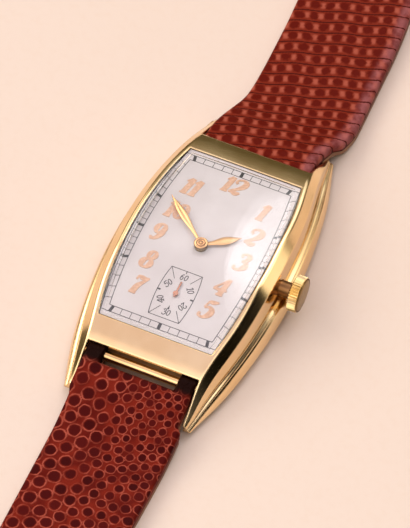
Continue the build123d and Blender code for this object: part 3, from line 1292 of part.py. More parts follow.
def spring_bar_pin(side, end):
    inner = GAP_HALF - BAR_END_GAP - BAR_PIN_INSIDE
    outer = GAP_HALF + BAR_PIN_REACH
    x_range = sorted((end * inner, end * outer))
    return rod(BAR_PIN_RADIUS, x_range[0], x_range[1], side * BAR_Y, BAR_HEIGHT)


def strap_side_edges(length, rise):
    """Side outline of a strap that starts at +Y: its upper run, end, underside and loop round the bar."""
    end_y = BAR_Y + length
    loop_top = (0, BAR_Y, BAR_HEIGHT + STRAP_LOOP_RADIUS)
    loop_base = (0, BAR_Y, BAR_HEIGHT - STRAP_LOOP_RADIUS)
    loop = ThreePointArc(loop_base, (0, BAR_Y - STRAP_LOOP_RADIUS, BAR_HEIGHT), loop_top)
    end = Line((0, end_y, rise + STRAP_THICKNESS), (0, end_y, rise))
    return upper_run(length, rise) + [end] + under_run(length, rise, 0) + [loop]


def upper_run(length, rise):
    """The strap's upper side from the bar to its end."""
    flat_y = BAR_Y + STRAP_DROP_LENGTH
    end_y = BAR_Y + length
    top = STRAP_THICKNESS
    level = (0, 1, 0)
    loop_top = BAR_HEIGHT + STRAP_LOOP_RADIUS
    edges = [Spline((0, BAR_Y, loop_top), (0, flat_y, top), tangents=[level, level])]
    if rise > 0:
        rise_y = end_y - STRAP_RISE_START
        risen_y = rise_y + STRAP_RISE_LENGTH
        edges.append(Line((0, flat_y, top), (0, rise_y, top)))
        edges.append(Spline((0, rise_y, top), (0, risen_y, rise + top), tangents=[level, level]))
        edges.append(Line((0, risen_y, rise + top), (0, end_y, rise + top)))
    else:
        edges.append(Line((0, flat_y, top), (0, end_y, top)))
    return edges


def under_run(length, rise, lift):
    """The strap's underside from its end back to the bar, lifted by a height."""
    flat_y = BAR_Y + STRAP_DROP_LENGTH
    end_y = BAR_Y + length
    back = (0, -1, 0)
    edges = []
    if rise > 0:
        rise_y = end_y - STRAP_RISE_START
        risen_y = rise_y + STRAP_RISE_LENGTH
        edges.append(Line((0, end_y, rise + lift), (0, risen_y, rise + lift)))
        edges.append(Spline((0, risen_y, rise + lift), (0, rise_y, lift), tangents=[back, back]))
        edges.append(Line((0, rise_y, lift), (0, flat_y, lift)))
    else:
        edges.append(Line((0, end_y, lift), (0, flat_y, lift)))
    loop_base = BAR_HEIGHT - STRAP_LOOP_RADIUS + lift
    edges.append(Spline((0, flat_y, lift), (0, BAR_Y, loop_base), tangents=[back, back]))
    return edges


def lining_side_edges(length, rise):
    """Side outline of the lining, which follows the strap's underside."""
    end_y = BAR_Y + length
    loop_base = BAR_HEIGHT - STRAP_LOOP_RADIUS
    end = Line((0, end_y, rise + LINING_THICKNESS), (0, end_y, rise))
    start = Line((0, BAR_Y, loop_base), (0, BAR_Y, loop_base + LINING_THICKNESS))
    return under_run(length, rise, 0) + [start] + under_run(length, rise, LINING_THICKNESS) + [end]


def strap_plan(length, end_width):
    """Plan outline of a strap: between the lugs, shoulder, taper and end."""
    lug = STRAP_LUG_HALF_WIDTH
    shoulder = STRAP_SHOULDER_WIDTH / 2
    end = end_width / 2
    start_y = BAR_Y - STRAP_LOOP_RADIUS - OVERRUN
    shoulder_y = LUG_HALF_SPAN + STRAP_SHOULDER_GAP
    end_y = BAR_Y + length + OVERRUN
    right = [(lug, start_y), (lug, shoulder_y), (shoulder, shoulder_y + STRAP_SHOULDER_RUN), (end, end_y)]
    left = [(-x, y) for x, y in reversed(right)]
    return Polygon(*(right + left), align=None)


def strap_blank(length, end_width, rise):
    profile = side_prism(strap_side_edges(length, rise), STRAP_SHOULDER_WIDTH)
    plan = Pos(0, 0, -OVERRUN) * extrude(strap_plan(length, end_width), BEZEL_TOP + OVERRUN)
    strap = profile & plan
    return strap - rod(STRAP_LOOP_BORE, -GAP_HALF, GAP_HALF, BAR_Y, BAR_HEIGHT)


def strap_12_whole():
    strap = strap_blank(STRAP_12_LENGTH, STRAP_12_END_WIDTH, STRAP_RISE)
    half = STRAP_12_END_WIDTH / 2
    strap -= block((-half * 2, half * 2), (BUCKLE_Y, BUCKLE_Y + OVERRUN * 2), (-OVERRUN, BEZEL_TOP))
    strap += rod(BUCKLE_LOOP_RADIUS, -half, half, BUCKLE_Y, BUCKLE_BAR_HEIGHT)
    strap -= rod(BUCKLE_LOOP_BORE, -half * 2, half * 2, BUCKLE_Y, BUCKLE_BAR_HEIGHT)
    slot = BUCKLE_SLOT_WIDTH / 2
    slot_y = (BUCKLE_Y - BUCKLE_SLOT_DEPTH, BUCKLE_Y + BUCKLE_LOOP_RADIUS + OVERRUN)
    return strap - block((-slot, slot), slot_y, (-OVERRUN, BEZEL_TOP))


def pointed_end(length, end_width):
    """Plan outline that keeps the strap and rounds its free end to a blunt point."""
    half = end_width
    tip_y = BAR_Y + length
    start_y = tip_y - STRAP_POINT_LENGTH
    edge = end_width / 2
    sides = [(edge * 2, 0), (edge * 2, start_y), (edge, start_y)]
    right = Spline((edge, start_y), (STRAP_POINT_HALF_WIDTH, tip_y), tangents=[(0, 1), (-1, 0)])
    cap = Line((STRAP_POINT_HALF_WIDTH, tip_y), (-STRAP_POINT_HALF_WIDTH, tip_y))
    left = Spline((-STRAP_POINT_HALF_WIDTH, tip_y), (-edge, start_y), tangents=[(-1, 0), (0, -1)])
    base = [
        Line((-edge, start_y), (-half, start_y)),
        Line((-half, start_y), (-half, 0)),
        Line((-half, 0), sides[0]),
        Line(sides[0], sides[1]),
        Line(sides[1], sides[2]),
    ]
    return Face(Wire([right, cap, left] + base))


def strap_6_whole():
    strap = strap_blank(STRAP_6_LENGTH, STRAP_6_END_WIDTH, 0)
    notch = STRAP_NOTCH_WIDTH / 2
    notch_y = (BAR_Y - STRAP_LOOP_RADIUS - OVERRUN, BAR_Y + STRAP_NOTCH_DEPTH)
    strap -= block((-notch, notch), notch_y, (0, BEZEL_TOP))
    keep = Pos(0, 0, -OVERRUN) * extrude(pointed_end(STRAP_6_LENGTH, STRAP_6_END_WIDTH), BEZEL_TOP + OVERRUN)
    strap &= keep
    end_y = BAR_Y + STRAP_6_LENGTH
    for step in range(STRAP_HOLES):
        hole_y = end_y - STRAP_HOLE_END - step * STRAP_HOLE_PITCH
        strap -= disc(STRAP_HOLE_RADIUS, -OVERRUN, BEZEL_TOP, (0, hole_y))
    return strap


def lining_cut(length, rise):
    return side_prism(lining_side_edges(length, rise), STRAP_SHOULDER_WIDTH)


def strap_12():
    return strap_12_whole() - lining_cut(STRAP_12_LENGTH, STRAP_RISE)


def strap_12_lining():
    return strap_12_whole() & lining_cut(STRAP_12_LENGTH, STRAP_RISE)


def strap_6():
    return Rot(0, 0, 180) * (strap_6_whole() - lining_cut(STRAP_6_LENGTH, 0))


def strap_6_lining():
    return Rot(0, 0, 180) * (strap_6_whole() & lining_cut(STRAP_6_LENGTH, 0))


def buckle_frame():
    outer_half = BUCKLE_HALF_OPENING + BUCKLE_ARM_WIDTH
    inner_reach = BUCKLE_REACH - BUCKLE_RAIL_WIDTH
    depth = BUCKLE_REACH + BUCKLE_HEEL
    outline = Pos(0, BUCKLE_Y - BUCKLE_HEEL + depth / 2) * Rectangle(2 * outer_half, depth)
    frame = extrude(outline, BUCKLE_THICKNESS)
    corners = frame.edges().filter_by(Axis.Z).group_by(Axis.Y)[-1]
    frame = fillet(corners, BUCKLE_ROUND)
    frame = fillet(frame.faces().sort_by(Axis.Z)[-1].edges(), BUCKLE_EDGE_ROUND)
    bottom = BUCKLE_BAR_HEIGHT - BUCKLE_THICKNESS / 2
    frame = Pos(0, 0, bottom) * frame
    y_range = (BUCKLE_Y - BUCKLE_HEEL - OVERRUN, BUCKLE_Y + inner_reach)
    z_range = (bottom - OVERRUN, bottom + BUCKLE_THICKNESS + OVERRUN)
    frame -= block((-BUCKLE_HALF_OPENING, BUCKLE_HALF_OPENING), y_range, z_range)
    bar_reach = BUCKLE_HALF_OPENING + BUCKLE_ARM_WIDTH
    return frame - rod(BUCKLE_BAR_RADIUS, -bar_reach, bar_reach, BUCKLE_Y, BUCKLE_BAR_HEIGHT)


def buckle_bar():
    reach = BUCKLE_HALF_OPENING + BUCKLE_ARM_WIDTH
    return rod(BUCKLE_BAR_RADIUS, -reach, reach, BUCKLE_Y, BUCKLE_BAR_HEIGHT)


def buckle_tongue():
    half = TONGUE_WIDTH / 2
    rail_top = BUCKLE_BAR_HEIGHT + BUCKLE_THICKNESS / 2
    finger_base = rail_top + TONGUE_CLEARANCE
    finger_end = BUCKLE_Y + BUCKLE_REACH + TONGUE_OVERHANG - BUCKLE_RAIL_WIDTH / 2
    tongue = rod(TONGUE_LOOP_RADIUS, -half, half, BUCKLE_Y, BUCKLE_BAR_HEIGHT)
    finger = block((-half, half), (BUCKLE_Y, finger_end), (finger_base, finger_base + TONGUE_THICKNESS))
    web = block((-half, half), (BUCKLE_Y, BUCKLE_Y + TONGUE_LOOP_RADIUS), (BUCKLE_BAR_HEIGHT, finger_base))
    tongue = tongue + web + finger
    bore = BUCKLE_BAR_RADIUS + TONGUE_CLEARANCE
    return tongue - rod(bore, -TONGUE_WIDTH, TONGUE_WIDTH, BUCKLE_Y, BUCKLE_BAR_HEIGHT)


def keeper(inboard, side_clearance):
    """A leather band near the buckle, with room over the strap for the other strap's end."""
    end_y = BUCKLE_Y - inboard
    start_y = end_y - KEEPER_LENGTH
    shoulder_y = LUG_HALF_SPAN + STRAP_SHOULDER_GAP + STRAP_SHOULDER_RUN
    taper = (STRAP_SHOULDER_WIDTH - STRAP_12_END_WIDTH) / 2 / (BUCKLE_Y + OVERRUN - shoulder_y)
    strap_half = STRAP_12_END_WIDTH / 2 + taper * (BUCKLE_Y + OVERRUN - start_y)
    inner_half = strap_half + side_clearance
    outer_half = inner_half + KEEPER_WALL
    inner_z = (STRAP_RISE - KEEPER_CLEARANCE, STRAP_RISE + 2 * STRAP_THICKNESS + KEEPER_CLEARANCE)
    outer_z = (inner_z[0] - KEEPER_WALL, inner_z[1] + KEEPER_WALL)
    band = block((-outer_half, outer_half), (start_y, end_y), outer_z)
    band = fillet(band.edges().filter_by(Axis.Y), KEEPER_WALL / 2)
    return band - block((-inner_half, inner_half), (start_y - OVERRUN, end_y + OVERRUN), inner_z)


PARTS = {
    "case_body": case_body,
    "case_back": case_back,
    "crystal": crystal,
    "crown_tube": crown_tube,
    "dial": dial,
    "dial_screws": dial_screws,
    "main_plate": main_plate,
    "movement_clamps": movement_clamps,
    "clamp_screws": clamp_screws,
    "barrel_bridge": barrel_bridge,
    "train_bridge": train_bridge,
    "balance_cock": balance_cock,
    "bridge_screws": bridge_screws,
    "jewels": jewels,
    "barrel_drum": barrel_drum,
    "barrel_cover": barrel_cover,
    "barrel_arbor": barrel_arbor,
    "mainspring": mainspring,
    "ratchet_wheel": ratchet_wheel,
    "ratchet_screw": ratchet_screw,
    "crown_wheel": crown_wheel,
    "crown_wheel_screw": crown_wheel_screw,
    "click": click,
    "click_spring": click_spring,
    "centre_wheel": centre_wheel,
    "third_wheel": third_wheel,
    "fourth_wheel": fourth_wheel,
    "escape_wheel": escape_wheel,
    "pallet_fork": pallet_fork,
    "balance_wheel": balance_wheel,
    "hairspring": hairspring,
    "cannon_pinion": cannon_pinion,
    "minute_wheel": minute_wheel,
    "minute_stud": minute_stud,
    "hour_wheel": hour_wheel,
    "hour_hand": hour_hand,
    "minute_hand": minute_hand,
    "seconds_hand": seconds_hand,
    "winding_stem": winding_stem,
    "winding_pinion": winding_pinion,
    "clutch_wheel": clutch_wheel,
    "crown": crown,
    "setting_lever": setting_lever,
    "yoke": yoke,
    "spring_bar_12": lambda: spring_bar(1),
    "spring_bar_12_pin_left": lambda: spring_bar_pin(1, -1),
    "spring_bar_12_pin_right": lambda: spring_bar_pin(1, 1),
    "spring_bar_6": lambda: spring_bar(-1),
    "spring_bar_6_pin_left": lambda: spring_bar_pin(-1, -1),
    "spring_bar_6_pin_right": lambda: spring_bar_pin(-1, 1),
    "strap_12": strap_12,
    "strap_12_lining": strap_12_lining,
    "strap_6": strap_6,
    "strap_6_lining": strap_6_lining,
    "buckle_frame": buckle_frame,
    "buckle_bar": buckle_bar,
    "buckle_tongue": buckle_tongue,
    "fixed_keeper": lambda: keeper(FIXED_KEEPER_INBOARD, KEEPER_CLEARANCE),
    "free_keeper": lambda: keeper(FREE_KEEPER_INBOARD, FREE_KEEPER_CLEARANCE),
}

os.makedirs("parts", exist_ok=True)
for name, make in PARTS.items():
    export_step(make(), f"parts/{name}.step")
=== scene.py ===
import math
import random
from collections import namedtuple

import bpy
import numpy as np
from mathutils import Matrix, Vector, kdtree


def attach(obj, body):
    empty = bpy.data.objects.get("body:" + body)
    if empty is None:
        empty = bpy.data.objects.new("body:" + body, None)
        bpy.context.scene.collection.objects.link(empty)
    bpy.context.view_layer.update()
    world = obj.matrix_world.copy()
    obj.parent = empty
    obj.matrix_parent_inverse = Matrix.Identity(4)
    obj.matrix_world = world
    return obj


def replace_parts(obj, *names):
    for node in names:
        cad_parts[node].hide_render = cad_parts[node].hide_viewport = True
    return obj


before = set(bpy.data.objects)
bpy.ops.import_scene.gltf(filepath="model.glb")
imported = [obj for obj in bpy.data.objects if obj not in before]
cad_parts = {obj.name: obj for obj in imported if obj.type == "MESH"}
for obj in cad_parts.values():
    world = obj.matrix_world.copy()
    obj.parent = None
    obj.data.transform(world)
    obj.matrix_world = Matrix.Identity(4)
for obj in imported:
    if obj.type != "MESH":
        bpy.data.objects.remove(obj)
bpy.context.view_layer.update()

# Lengths are in millimetres up to the line that writes a mesh, which turns them into metres.
MM = 0.001

# The camera, fitted to points of the photograph
PHOTO_HEIGHT = 528
SENSOR = 36.0
PIXELS_PER_MM = 8.404
CAMERA_AZIMUTH, CAMERA_ELEVATION, CAMERA_DISTANCE = 24.12, 54.91, 551.4
CAMERA_TARGET = (1.406, -1.967)
CLIP_START, CLIP_END = 0.01, 20.0

# The dial and what is printed and raised on it
DIAL_TOP = 6.3
DIAL_ARCH = 125.0
PRINT_HEIGHT, PRINT_BASE = 0.012, 0.001
NUMERAL_RELIEF = 0.05
TRACK_END, TRACK_SIDE, TRACK_BEND = 12.0, 7.87, 0.0059
TRACK_HALF, TRACK_LINE = 0.43, 0.085
SIDE_TICKS = [10.75, 9.2, 7.65, 6.2, 3.89, 2.92, 1.94, 0.97]
TICK_WIDTH, TICK_LEAN, END_MARK_X = 0.075, 0.25, 6.2
# The track's thick marks as (start, end, width)
AXIS_MARKS = [((0, 11.55), (0, 12.45), 0.4), ((TRACK_SIDE - 0.47, 0), (TRACK_SIDE + 0.47, 0), 0.36)]
QUARTER_MARKS = [((6.12, 11.57), (6.3, 12.43), 0.38), ((7.28, 4.70), (8.16, 5.02), 0.34)]
SUBDIAL = (0.0, -7.35)
SUBDIAL_HALF, SUBDIAL_WIDE, SUBDIAL_BULGE = 3.45, 1.97, 0.36
# Its marks: where a diagonal ends, as shares, then from, to and width or (down, width)
DIAGONAL_END, SIDE_MARK, TOP_MARK = (0.52, 0.58), (1.92, 2.33, 0.2), (0.35, 0.1)
LOW_MARK = [(2.15, 0.26), (1.95, 0.2), (1.62, 0.04)]
# The seconds as (number, place from the subdial's middle, turn)
SECONDS = [
    ("60", (0.0, 2.55), 0.0), ("10", (1.45, 1.15), -1.0), ("20", (1.42, -1.2), -2.1),
    ("30", (0.0, -2.6), 0.0), ("40", (-1.42, -1.2), 2.1), ("50", (-1.45, 1.15), 1.0),
]
SECONDS_HEIGHT, SECONDS_SLANT, SECONDS_LINE = 0.86, 0.1, 0.115
# The hour numerals and their places on the dial
HOURS = {
    "12": (-0.1, 10.0), "1": (4.75, 7.65), "2": (5.2, 3.8), "3": (5.4, -0.1), "4": (4.65, -4.2),
    "5": (4.3, -7.75), "7": (-4.6, -7.8), "8": (-4.9, -4.1), "9": (-5.45, -0.1), "10": (-4.7, 3.65),
    "11": (-4.6, 7.6),
}
HOUR_HEIGHT, HOUR_WEIGHT, HOUR_SLANT = 2.6, 1.42, 0.2

# The hands: angle clockwise from twelve, heights of the base and of the ridge, and the hub they reach under
MINUTE_HAND = {"length": 7.9, "angle": 309.6, "width": 0.92, "base": 6.82, "ridge": 7.0, "hub": 0.86}
HOUR_HAND = {"length": 4.9, "angle": 55.0, "width": 1.12, "base": 6.56, "ridge": 6.71, "hub": 0.8}
# A hand's outline as (share of the length, share of the width) and its section as (across, up) shares
HAND_OUTLINE = [
    (0.0, 0.42), (0.12, 0.42), (0.3, 0.55), (0.48, 0.9), (0.6, 1.0), (0.75, 0.8), (0.9, 0.36), (1.0, 0.08),
]
HAND_SECTION = [(-1.0, 0.35), (-0.55, 0.8), (0.0, 1.0), (0.55, 0.8), (1.0, 0.35), (0.0, 0.0)]
HUB_TOP = 7.025

# The crown on its stem
CROWN_INNER_X, STEM_HEIGHT = 11.95, 4.1
CROWN_FLUTES, CROWN_FLUTE_DEPTH, CROWN_FLUTE_POINTS = 40, 0.2, 8

# The strap, as its solids are laid out. Both halves are written for the +Y side.
BAR_Y, BAR_Z = 17.0, 3.4
LOOP_OUTER, LOOP_INNER, LOOP_STEPS = 1.17, 0.65, 16
DROP_LENGTH = 12.0
STRAP_THICK, LINING_THICK = 2.0, 0.7
NOTCH_HALF, NOTCH_END = 4.8, 18.6
LUG_HALF, SHOULDER_HALF = 7.0, 7.65
LUG_END, SHOULDER_END = 22.4, 23.2
BUCKLE_Y, BUCKLE_Z, BUCKLE_LOOP, BUCKLE_BLEND = 92.0, 2.2, 1.25, 1.5
SLOT_HALF, SLOT_START = 1.4, 89.0
RISE, RISE_START, RISE_REACH = 0.95, 50.0, 9.0
TIP_Y, TIP_HALF, POINT_START, POINT_STEPS = 132.0, 1.6, 123.0, 44
# Where each strap's taper ends: (half-width, place along the strap)
BUCKLE_TAPER, FREE_TAPER = (6.2, 93.0), (6.1, 133.0)
# Less than the step between two places along the strap
HAIR = 1e-6
HOLE_RADIUS = 0.9
HOLE_PLACES = [108.0 - 6.5 * k for k in range(7)]
KEEPER_WALL, KEEPER_LOW, KEEPER_HIGH, KEEPER_CORNER = 0.8, 0.03, 5.87, 1.1

# The upper strap's lean to the crown's side and its narrower middle, as the photograph shows them
LEAN, LEAN_START, LEAN_REACH = 1.4, 18.0, 9.0
NARROW_SHARE, NARROW_START, NARROW_REACH = 0.02, 24.0, 16.0
STRAIGHT_START, STRAIGHT_REACH = 38.0, 21.0
LEFT_START, LEFT_REACH = 28.0, 16.0
# The lower strap's left side lies further in than its solid's
LOWER_SHARE, LOWER_START, LOWER_REACH = 0.13, 44.0, 24.0
# The edge that gets painted sheen, as a share of the half-width, and where the painted shade at the bar ends
SHEEN_START_SHARE, SHEEN_REACH_SHARE = 0.76, 0.14
BAR_SHADE_END, BAR_SHADE_FADE = 18.2, 1.2

# How far apart a sheet's columns are
LEATHER_SPACING, LINING_SPACING = 0.2, 0.28

# The relief of the leather
EDGE_ROUND, EDGE_ROUND_SHARE, EDGE_FADE = 0.42, 0.45, 0.5
SHEET_CROWN, SCALE_RELIEF = 0.16, 0.07
LINING_ROUND = 0.1
KEEPER_RELIEF, KEEPER_SINK, KEEPER_PITCH = 0.05, 0.02, 1.35
SCAN_STEP, SCAN_MARGIN, SCALE_JITTER = 0.12, 2.0, 0.05
ROW_SLANT = math.radians(19.0)
ROW_PITCH_ACROSS, ROW_PITCH_ALONG = 1.84, 1.71
ROW_DRIFT, ROW_COUNT = 0.15, 80
LARGE_PITCH, SMALL_STEP, SMALL_STEP_LOST = 1.9, 0.74, 0.36
LOWER_FIELD, KEEPER_FIELD, KEEPER_START = (8.5, 125.0), 24.0, 21.0
LOWER_SEED, ROW_SEED, KEEPER_SEED = 6, 12, 77

# Materials: a brushed metal's grain and the depths of the bumps
BRUSHED = (1.0, 8.0, 1.0)
MARK_DEPTH, LEATHER_DEPTH, LINING_DEPTH, FLOOR_DEPTH = 0.004, 0.06, 0.03, 0.05

# The floor, in metres, and the light
FLOOR_HALF = 3.0
KEY_DIRECTION, KEY_DISTANCE, KEY_SIZE = (-0.78, 0.08, 0.62), 1.5, 0.8
KEY_POWER, KEY_SHADE = 4.6, (1.0, 0.93, 0.84)
# Colour of the surroundings by the sine of the elevation
CEILING_STOPS = [
    (0.0, (0.10, 0.09, 0.05)), (0.22, (0.12, 0.105, 0.06)), (0.42, (0.21, 0.19, 0.13)),
    (0.58, (0.50, 0.47, 0.43)), (0.72, (0.84, 0.79, 0.81)), (1.0, (0.92, 0.81, 0.95)),
]
# Patches of light over the ceiling: a colour, then soft steps in the direction's x, y, z or slope x / y.
# A step rises from 0 to 1 between its first two values, or changes between the two that follow.
PATCHES = {
    "left wall": ((1.25, 1.15, 1.0), [("x", -0.66, -0.5, 1.0, 0.0), ("z", 0.25, 0.42)]),
    "right panel": ((1.1, 1.03, 0.9), [("x", 0.15, 0.34), ("z", 0.5, 0.62)]),
    "strip beside the card": ((1.3, 1.22, 1.05), [
        ("y", 0.41, 0.46), ("y", 0.6, 0.8, 1.0, 0.0), ("x", 0.45, 0.6), ("z", 0.0, 0.04),
    ]),
    "fill from the front": ((1.15, 1.1, 1.02), [("y", -0.5, -0.12, 1.0, 0.0), ("z", 0.1, 0.5)]),
    "haze on the crystal": ((0.55, 0.5, 0.48), [
        ("x", -0.55, -0.2), ("x", 0.3, 0.5, 1.0, 0.0), ("y", 0.3, 0.5), ("z", 0.62, 0.74),
    ]),
    "window over the crystal": ((3.3, 3.3, 3.4), [
        ("slope", -0.215, -0.185), ("slope", 0.25, 0.4, 1.0, 0.0),
        ("y", 0.31, 0.48), ("y", 0.5, 0.9, 1.0, 0.3), ("z", 0.3, 0.42),
    ]),
}
DARK_CARD = [("x", 0.2, 0.42), ("y", 0.40, 0.45, 1.0, 0.0), ("z", 0.84, 0.92, 1.0, 0.0)]
DARK_CARD_STRENGTH = 0.96

# One row of a leather sheet across the strap: its top and base edge, half its width and what is cut from it
Row = namedtuple("Row", "top_y top_z base_y base_z half kind")


def ease(value, start=0.0, reach=1.0):
    """A smooth step from 0 at start to 1 a reach further on."""
    t = min(max((value - start) / reach, 0.0), 1.0)
    return t * t * (3 - 2 * t)


def fade(value, start, reach=1.0):
    """The same step, down from 1 to 0."""
    return 1.0 - ease(value, start, reach)


def between(first, second, t):
    """The values part of the way from first to second."""
    return tuple(a + (b - a) * t for a, b in zip(first, second))


def smooth_line(points, pieces, closed=False):
    """Points along a smooth curve through points of any number of values."""
    points = [np.asarray(point, dtype=float) for point in points]
    if closed:
        knots = [points[-1], *points, *points[:2]]
    else:
        knots = [2 * points[0] - points[1], *points, 2 * points[-1] - points[-2]]
    line = []
    for a, b, c, d in zip(knots, knots[1:], knots[2:], knots[3:]):
        for step in range(pieces):
            t = step / pieces
            bend = (2 * a - 5 * b + 4 * c - d) * t**2 + (3 * b - a - 3 * c + d) * t**3
            line.append(0.5 * (2 * b + (c - a) * t + bend))
    return line if closed else line + [points[-1]]


def hermite(first, leave, last, arrive, t):
    """A value on the curve from first to last that leaves and arrives with the given slopes."""
    start = first * (2 * t**3 - 3 * t**2 + 1) + leave * (t**3 - 2 * t**2 + t)
    return start + last * (3 * t**2 - 2 * t**3) + arrive * (t**3 - t**2)


def circle(count):
    """(cosine, sine) of even steps round a circle."""
    return [(math.cos(2 * math.pi * k / count), math.sin(2 * math.pi * k / count)) for k in range(count)]


def round_drop(radius, gap):
    """How far a rounded edge lies below its face, at a gap from the edge."""
    return radius - math.sqrt(max(radius**2 - (radius - min(gap, radius)) ** 2, 0.0))


# Camera


def place_camera():
    azimuth, elevation = math.radians(CAMERA_AZIMUTH), math.radians(CAMERA_ELEVATION)
    level = math.cos(elevation)
    target = Vector((*CAMERA_TARGET, DIAL_TOP))
    back = Vector((math.sin(azimuth) * level, -math.cos(azimuth) * level, math.sin(elevation)))
    right = Vector((math.cos(azimuth), math.sin(azimuth), 0.0))
    up = back.cross(right)
    data = bpy.data.cameras.new("camera")
    data.sensor_width = SENSOR
    data.lens = PIXELS_PER_MM * CAMERA_DISTANCE / PHOTO_HEIGHT * SENSOR
    data.clip_start, data.clip_end = CLIP_START, CLIP_END
    camera = bpy.data.objects.new("camera", data)
    bpy.context.scene.collection.objects.link(camera)
    turn = Matrix((right, up, back)).transposed().to_4x4()
    camera.matrix_world = Matrix.Translation((target + back * CAMERA_DISTANCE) * MM) @ turn
    bpy.context.scene.camera = camera


# Materials


class Nodes:
    """A short way to write the node tree of a material or the world."""

    def __init__(self, owner):
        self.owner = owner
        owner.use_nodes = True
        self.tree = owner.node_tree
        self.tree.nodes.clear()

    def put(self, socket, value):
        """Links a socket to another or sets its own value. A colour is given without its alpha."""
        if isinstance(value, bpy.types.NodeSocket):
            self.tree.links.new(value, socket)
        elif socket.type == "RGBA":
            socket.default_value = (*value, 1.0)
        else:
            socket.default_value = value

    def add(self, kind, sockets=None, **settings):
        node = self.tree.nodes.new(kind)
        for key, value in settings.items():
            setattr(node, key, value)
        for key, value in (sockets or {}).items():
            self.put(node.inputs[key], value)
        return node

    def maths(self, operation, *values, clamp=False):
        sockets = dict(enumerate(values))
        return self.add("ShaderNodeMath", sockets, operation=operation, use_clamp=clamp).outputs[0]

    def times(self, product, *factors):
        for factor in factors:
            product = self.maths("MULTIPLY", product, factor)
        return product

    def vectors(self, operation, sockets):
        return self.add("ShaderNodeVectorMath", sockets, operation=operation).outputs[0]

    def mix(self, factor, first, second):
        sockets = {0: factor, 6: first, 7: second}
        return self.add("ShaderNodeMix", sockets, data_type="RGBA", clamp_factor=True).outputs[2]

    def span(self, value, low, high, to_low=0.0, to_high=1.0):
        """A smooth step between two values of a socket."""
        sockets = {"Value": value, "From Min": low, "From Max": high, "To Min": to_low, "To Max": to_high}
        return self.add("ShaderNodeMapRange", sockets, interpolation_type="SMOOTHSTEP", clamp=True).outputs[0]

    def noise(self, scale, detail=2.0, rough=0.5, stretch=None, distortion=0.0):
        place = self.add("ShaderNodeTexCoord").outputs["Object"]
        if stretch is not None:
            place = self.add("ShaderNodeMapping", {"Vector": place, "Scale": stretch}).outputs[0]
        sockets = {"Vector": place, "Scale": scale, "Detail": detail, "Roughness": rough}
        sockets["Distortion"] = distortion
        return self.add("ShaderNodeTexNoise", sockets).outputs[0]

    def wobble(self, scale, detail, rough, reach):
        """Noise about zero."""
        return self.times(self.maths("SUBTRACT", self.noise(scale, detail, rough), 0.5), reach)

    def attribute(self, name):
        return self.add("ShaderNodeAttribute", attribute_name=name).outputs["Fac"]

    def bump(self, height, strength, depth, normal=None):
        """A bump of a depth in millimetres."""
        sockets = {"Height": height, "Strength": strength, "Distance": depth * MM}
        if normal is not None:
            sockets["Normal"] = normal
        return self.add("ShaderNodeBump", sockets).outputs[0]

    def surface(self, sockets):
        """Ends a material with one principled shader and returns it."""
        shader = self.add("ShaderNodeBsdfPrincipled", sockets).outputs[0]
        self.add("ShaderNodeOutputMaterial", {"Surface": shader})
        return self.owner


def new_material(name):
    return Nodes(bpy.data.materials.new(name))


def metal(name, base, deep, rough, scratches=0.25, edge=0.12, grain=(1.0, 1.0, 1.0)):
    """Metal with soft edges, faint handling marks and uneven polish."""
    n = new_material(name)
    cloud = n.noise(140.0, 3.0, 0.55)
    fine = n.noise(9000.0, 4.0, 0.6, stretch=grain)
    marks = n.noise(2600.0, 6.0, 0.75, stretch=(grain[0] * 0.2, grain[1], grain[2]), distortion=0.6)
    soft = n.add("ShaderNodeBevel", {"Radius": edge * MM}, samples=8).outputs[0]
    polish = n.span(cloud, 0.3, 0.75, rough * 0.75, rough * 1.35)
    height = n.maths("ADD", n.times(fine, 0.5), marks)
    return n.surface({
        "Base Color": n.mix(n.span(cloud, 0.35, 0.7), deep, base),
        "Metallic": 1.0,
        "Roughness": n.maths("ADD", polish, n.span(marks, 0.55, 0.8, 0.0, 0.05)),
        "Normal": n.bump(height, scratches, MARK_DEPTH, soft),
    })


def crystal_material():
    """Clear domed glass that lets the lamps reach the dial."""
    n = new_material("crystal_glass")
    smear = n.noise(220.0, 3.0, 0.6)
    sockets = {
        "Base Color": (0.99, 0.99, 0.98),
        "Roughness": n.span(smear, 0.45, 0.8, 0.0, 0.035),
        "IOR": 1.5,
        "Transmission Weight": 1.0,
    }
    glass = n.add("ShaderNodeBsdfPrincipled", sockets).outputs[0]
    clear = n.add("ShaderNodeBsdfTransparent", {"Color": (0.95, 0.95, 0.94)}).outputs[0]
    path = n.add("ShaderNodeLightPath")
    through = n.maths("MAXIMUM", path.outputs["Is Shadow Ray"], path.outputs["Is Diffuse Ray"])
    both = n.add("ShaderNodeMixShader", {0: through, 1: glass, 2: clear}).outputs[0]
    n.add("ShaderNodeOutputMaterial", {"Surface": both})
    return n.owner


def dial_material():
    """Silvered dial: fine vertical graining under a satin lacquer, a little aged."""
    n = new_material("dial_silver")
    age = n.noise(130.0, 4.0, 0.6)
    specks = n.noise(5200.0, 2.0, 0.5)
    grain = n.noise(3000.0, 3.0, 0.6, stretch=(1.0, 0.05, 1.0))
    tint = n.mix(n.span(age, 0.35, 0.7), (0.62, 0.565, 0.58), (0.69, 0.64, 0.66))
    return n.surface({
        "Base Color": n.mix(n.span(specks, 0.66, 0.78, 0.0, 0.3), tint, (0.50, 0.43, 0.40)),
        "Metallic": 0.12,
        "Roughness": n.span(grain, 0.3, 0.7, 0.4, 0.55),
        "Normal": n.bump(grain, 0.12, MARK_DEPTH),
    })


def ink_material(name, dark, light, metallic=0.0, rough=0.45):
    """Printed or plated marks, a little uneven."""
    n = new_material(name)
    patch = n.noise(3200.0, 3.0, 0.6)
    return n.surface({
        "Base Color": n.mix(n.span(patch, 0.4, 0.72), dark, light),
        "Metallic": metallic,
        "Roughness": n.span(patch, 0.3, 0.7, rough * 0.8, rough * 1.25),
        "Normal": n.bump(patch, 0.15, MARK_DEPTH),
    })


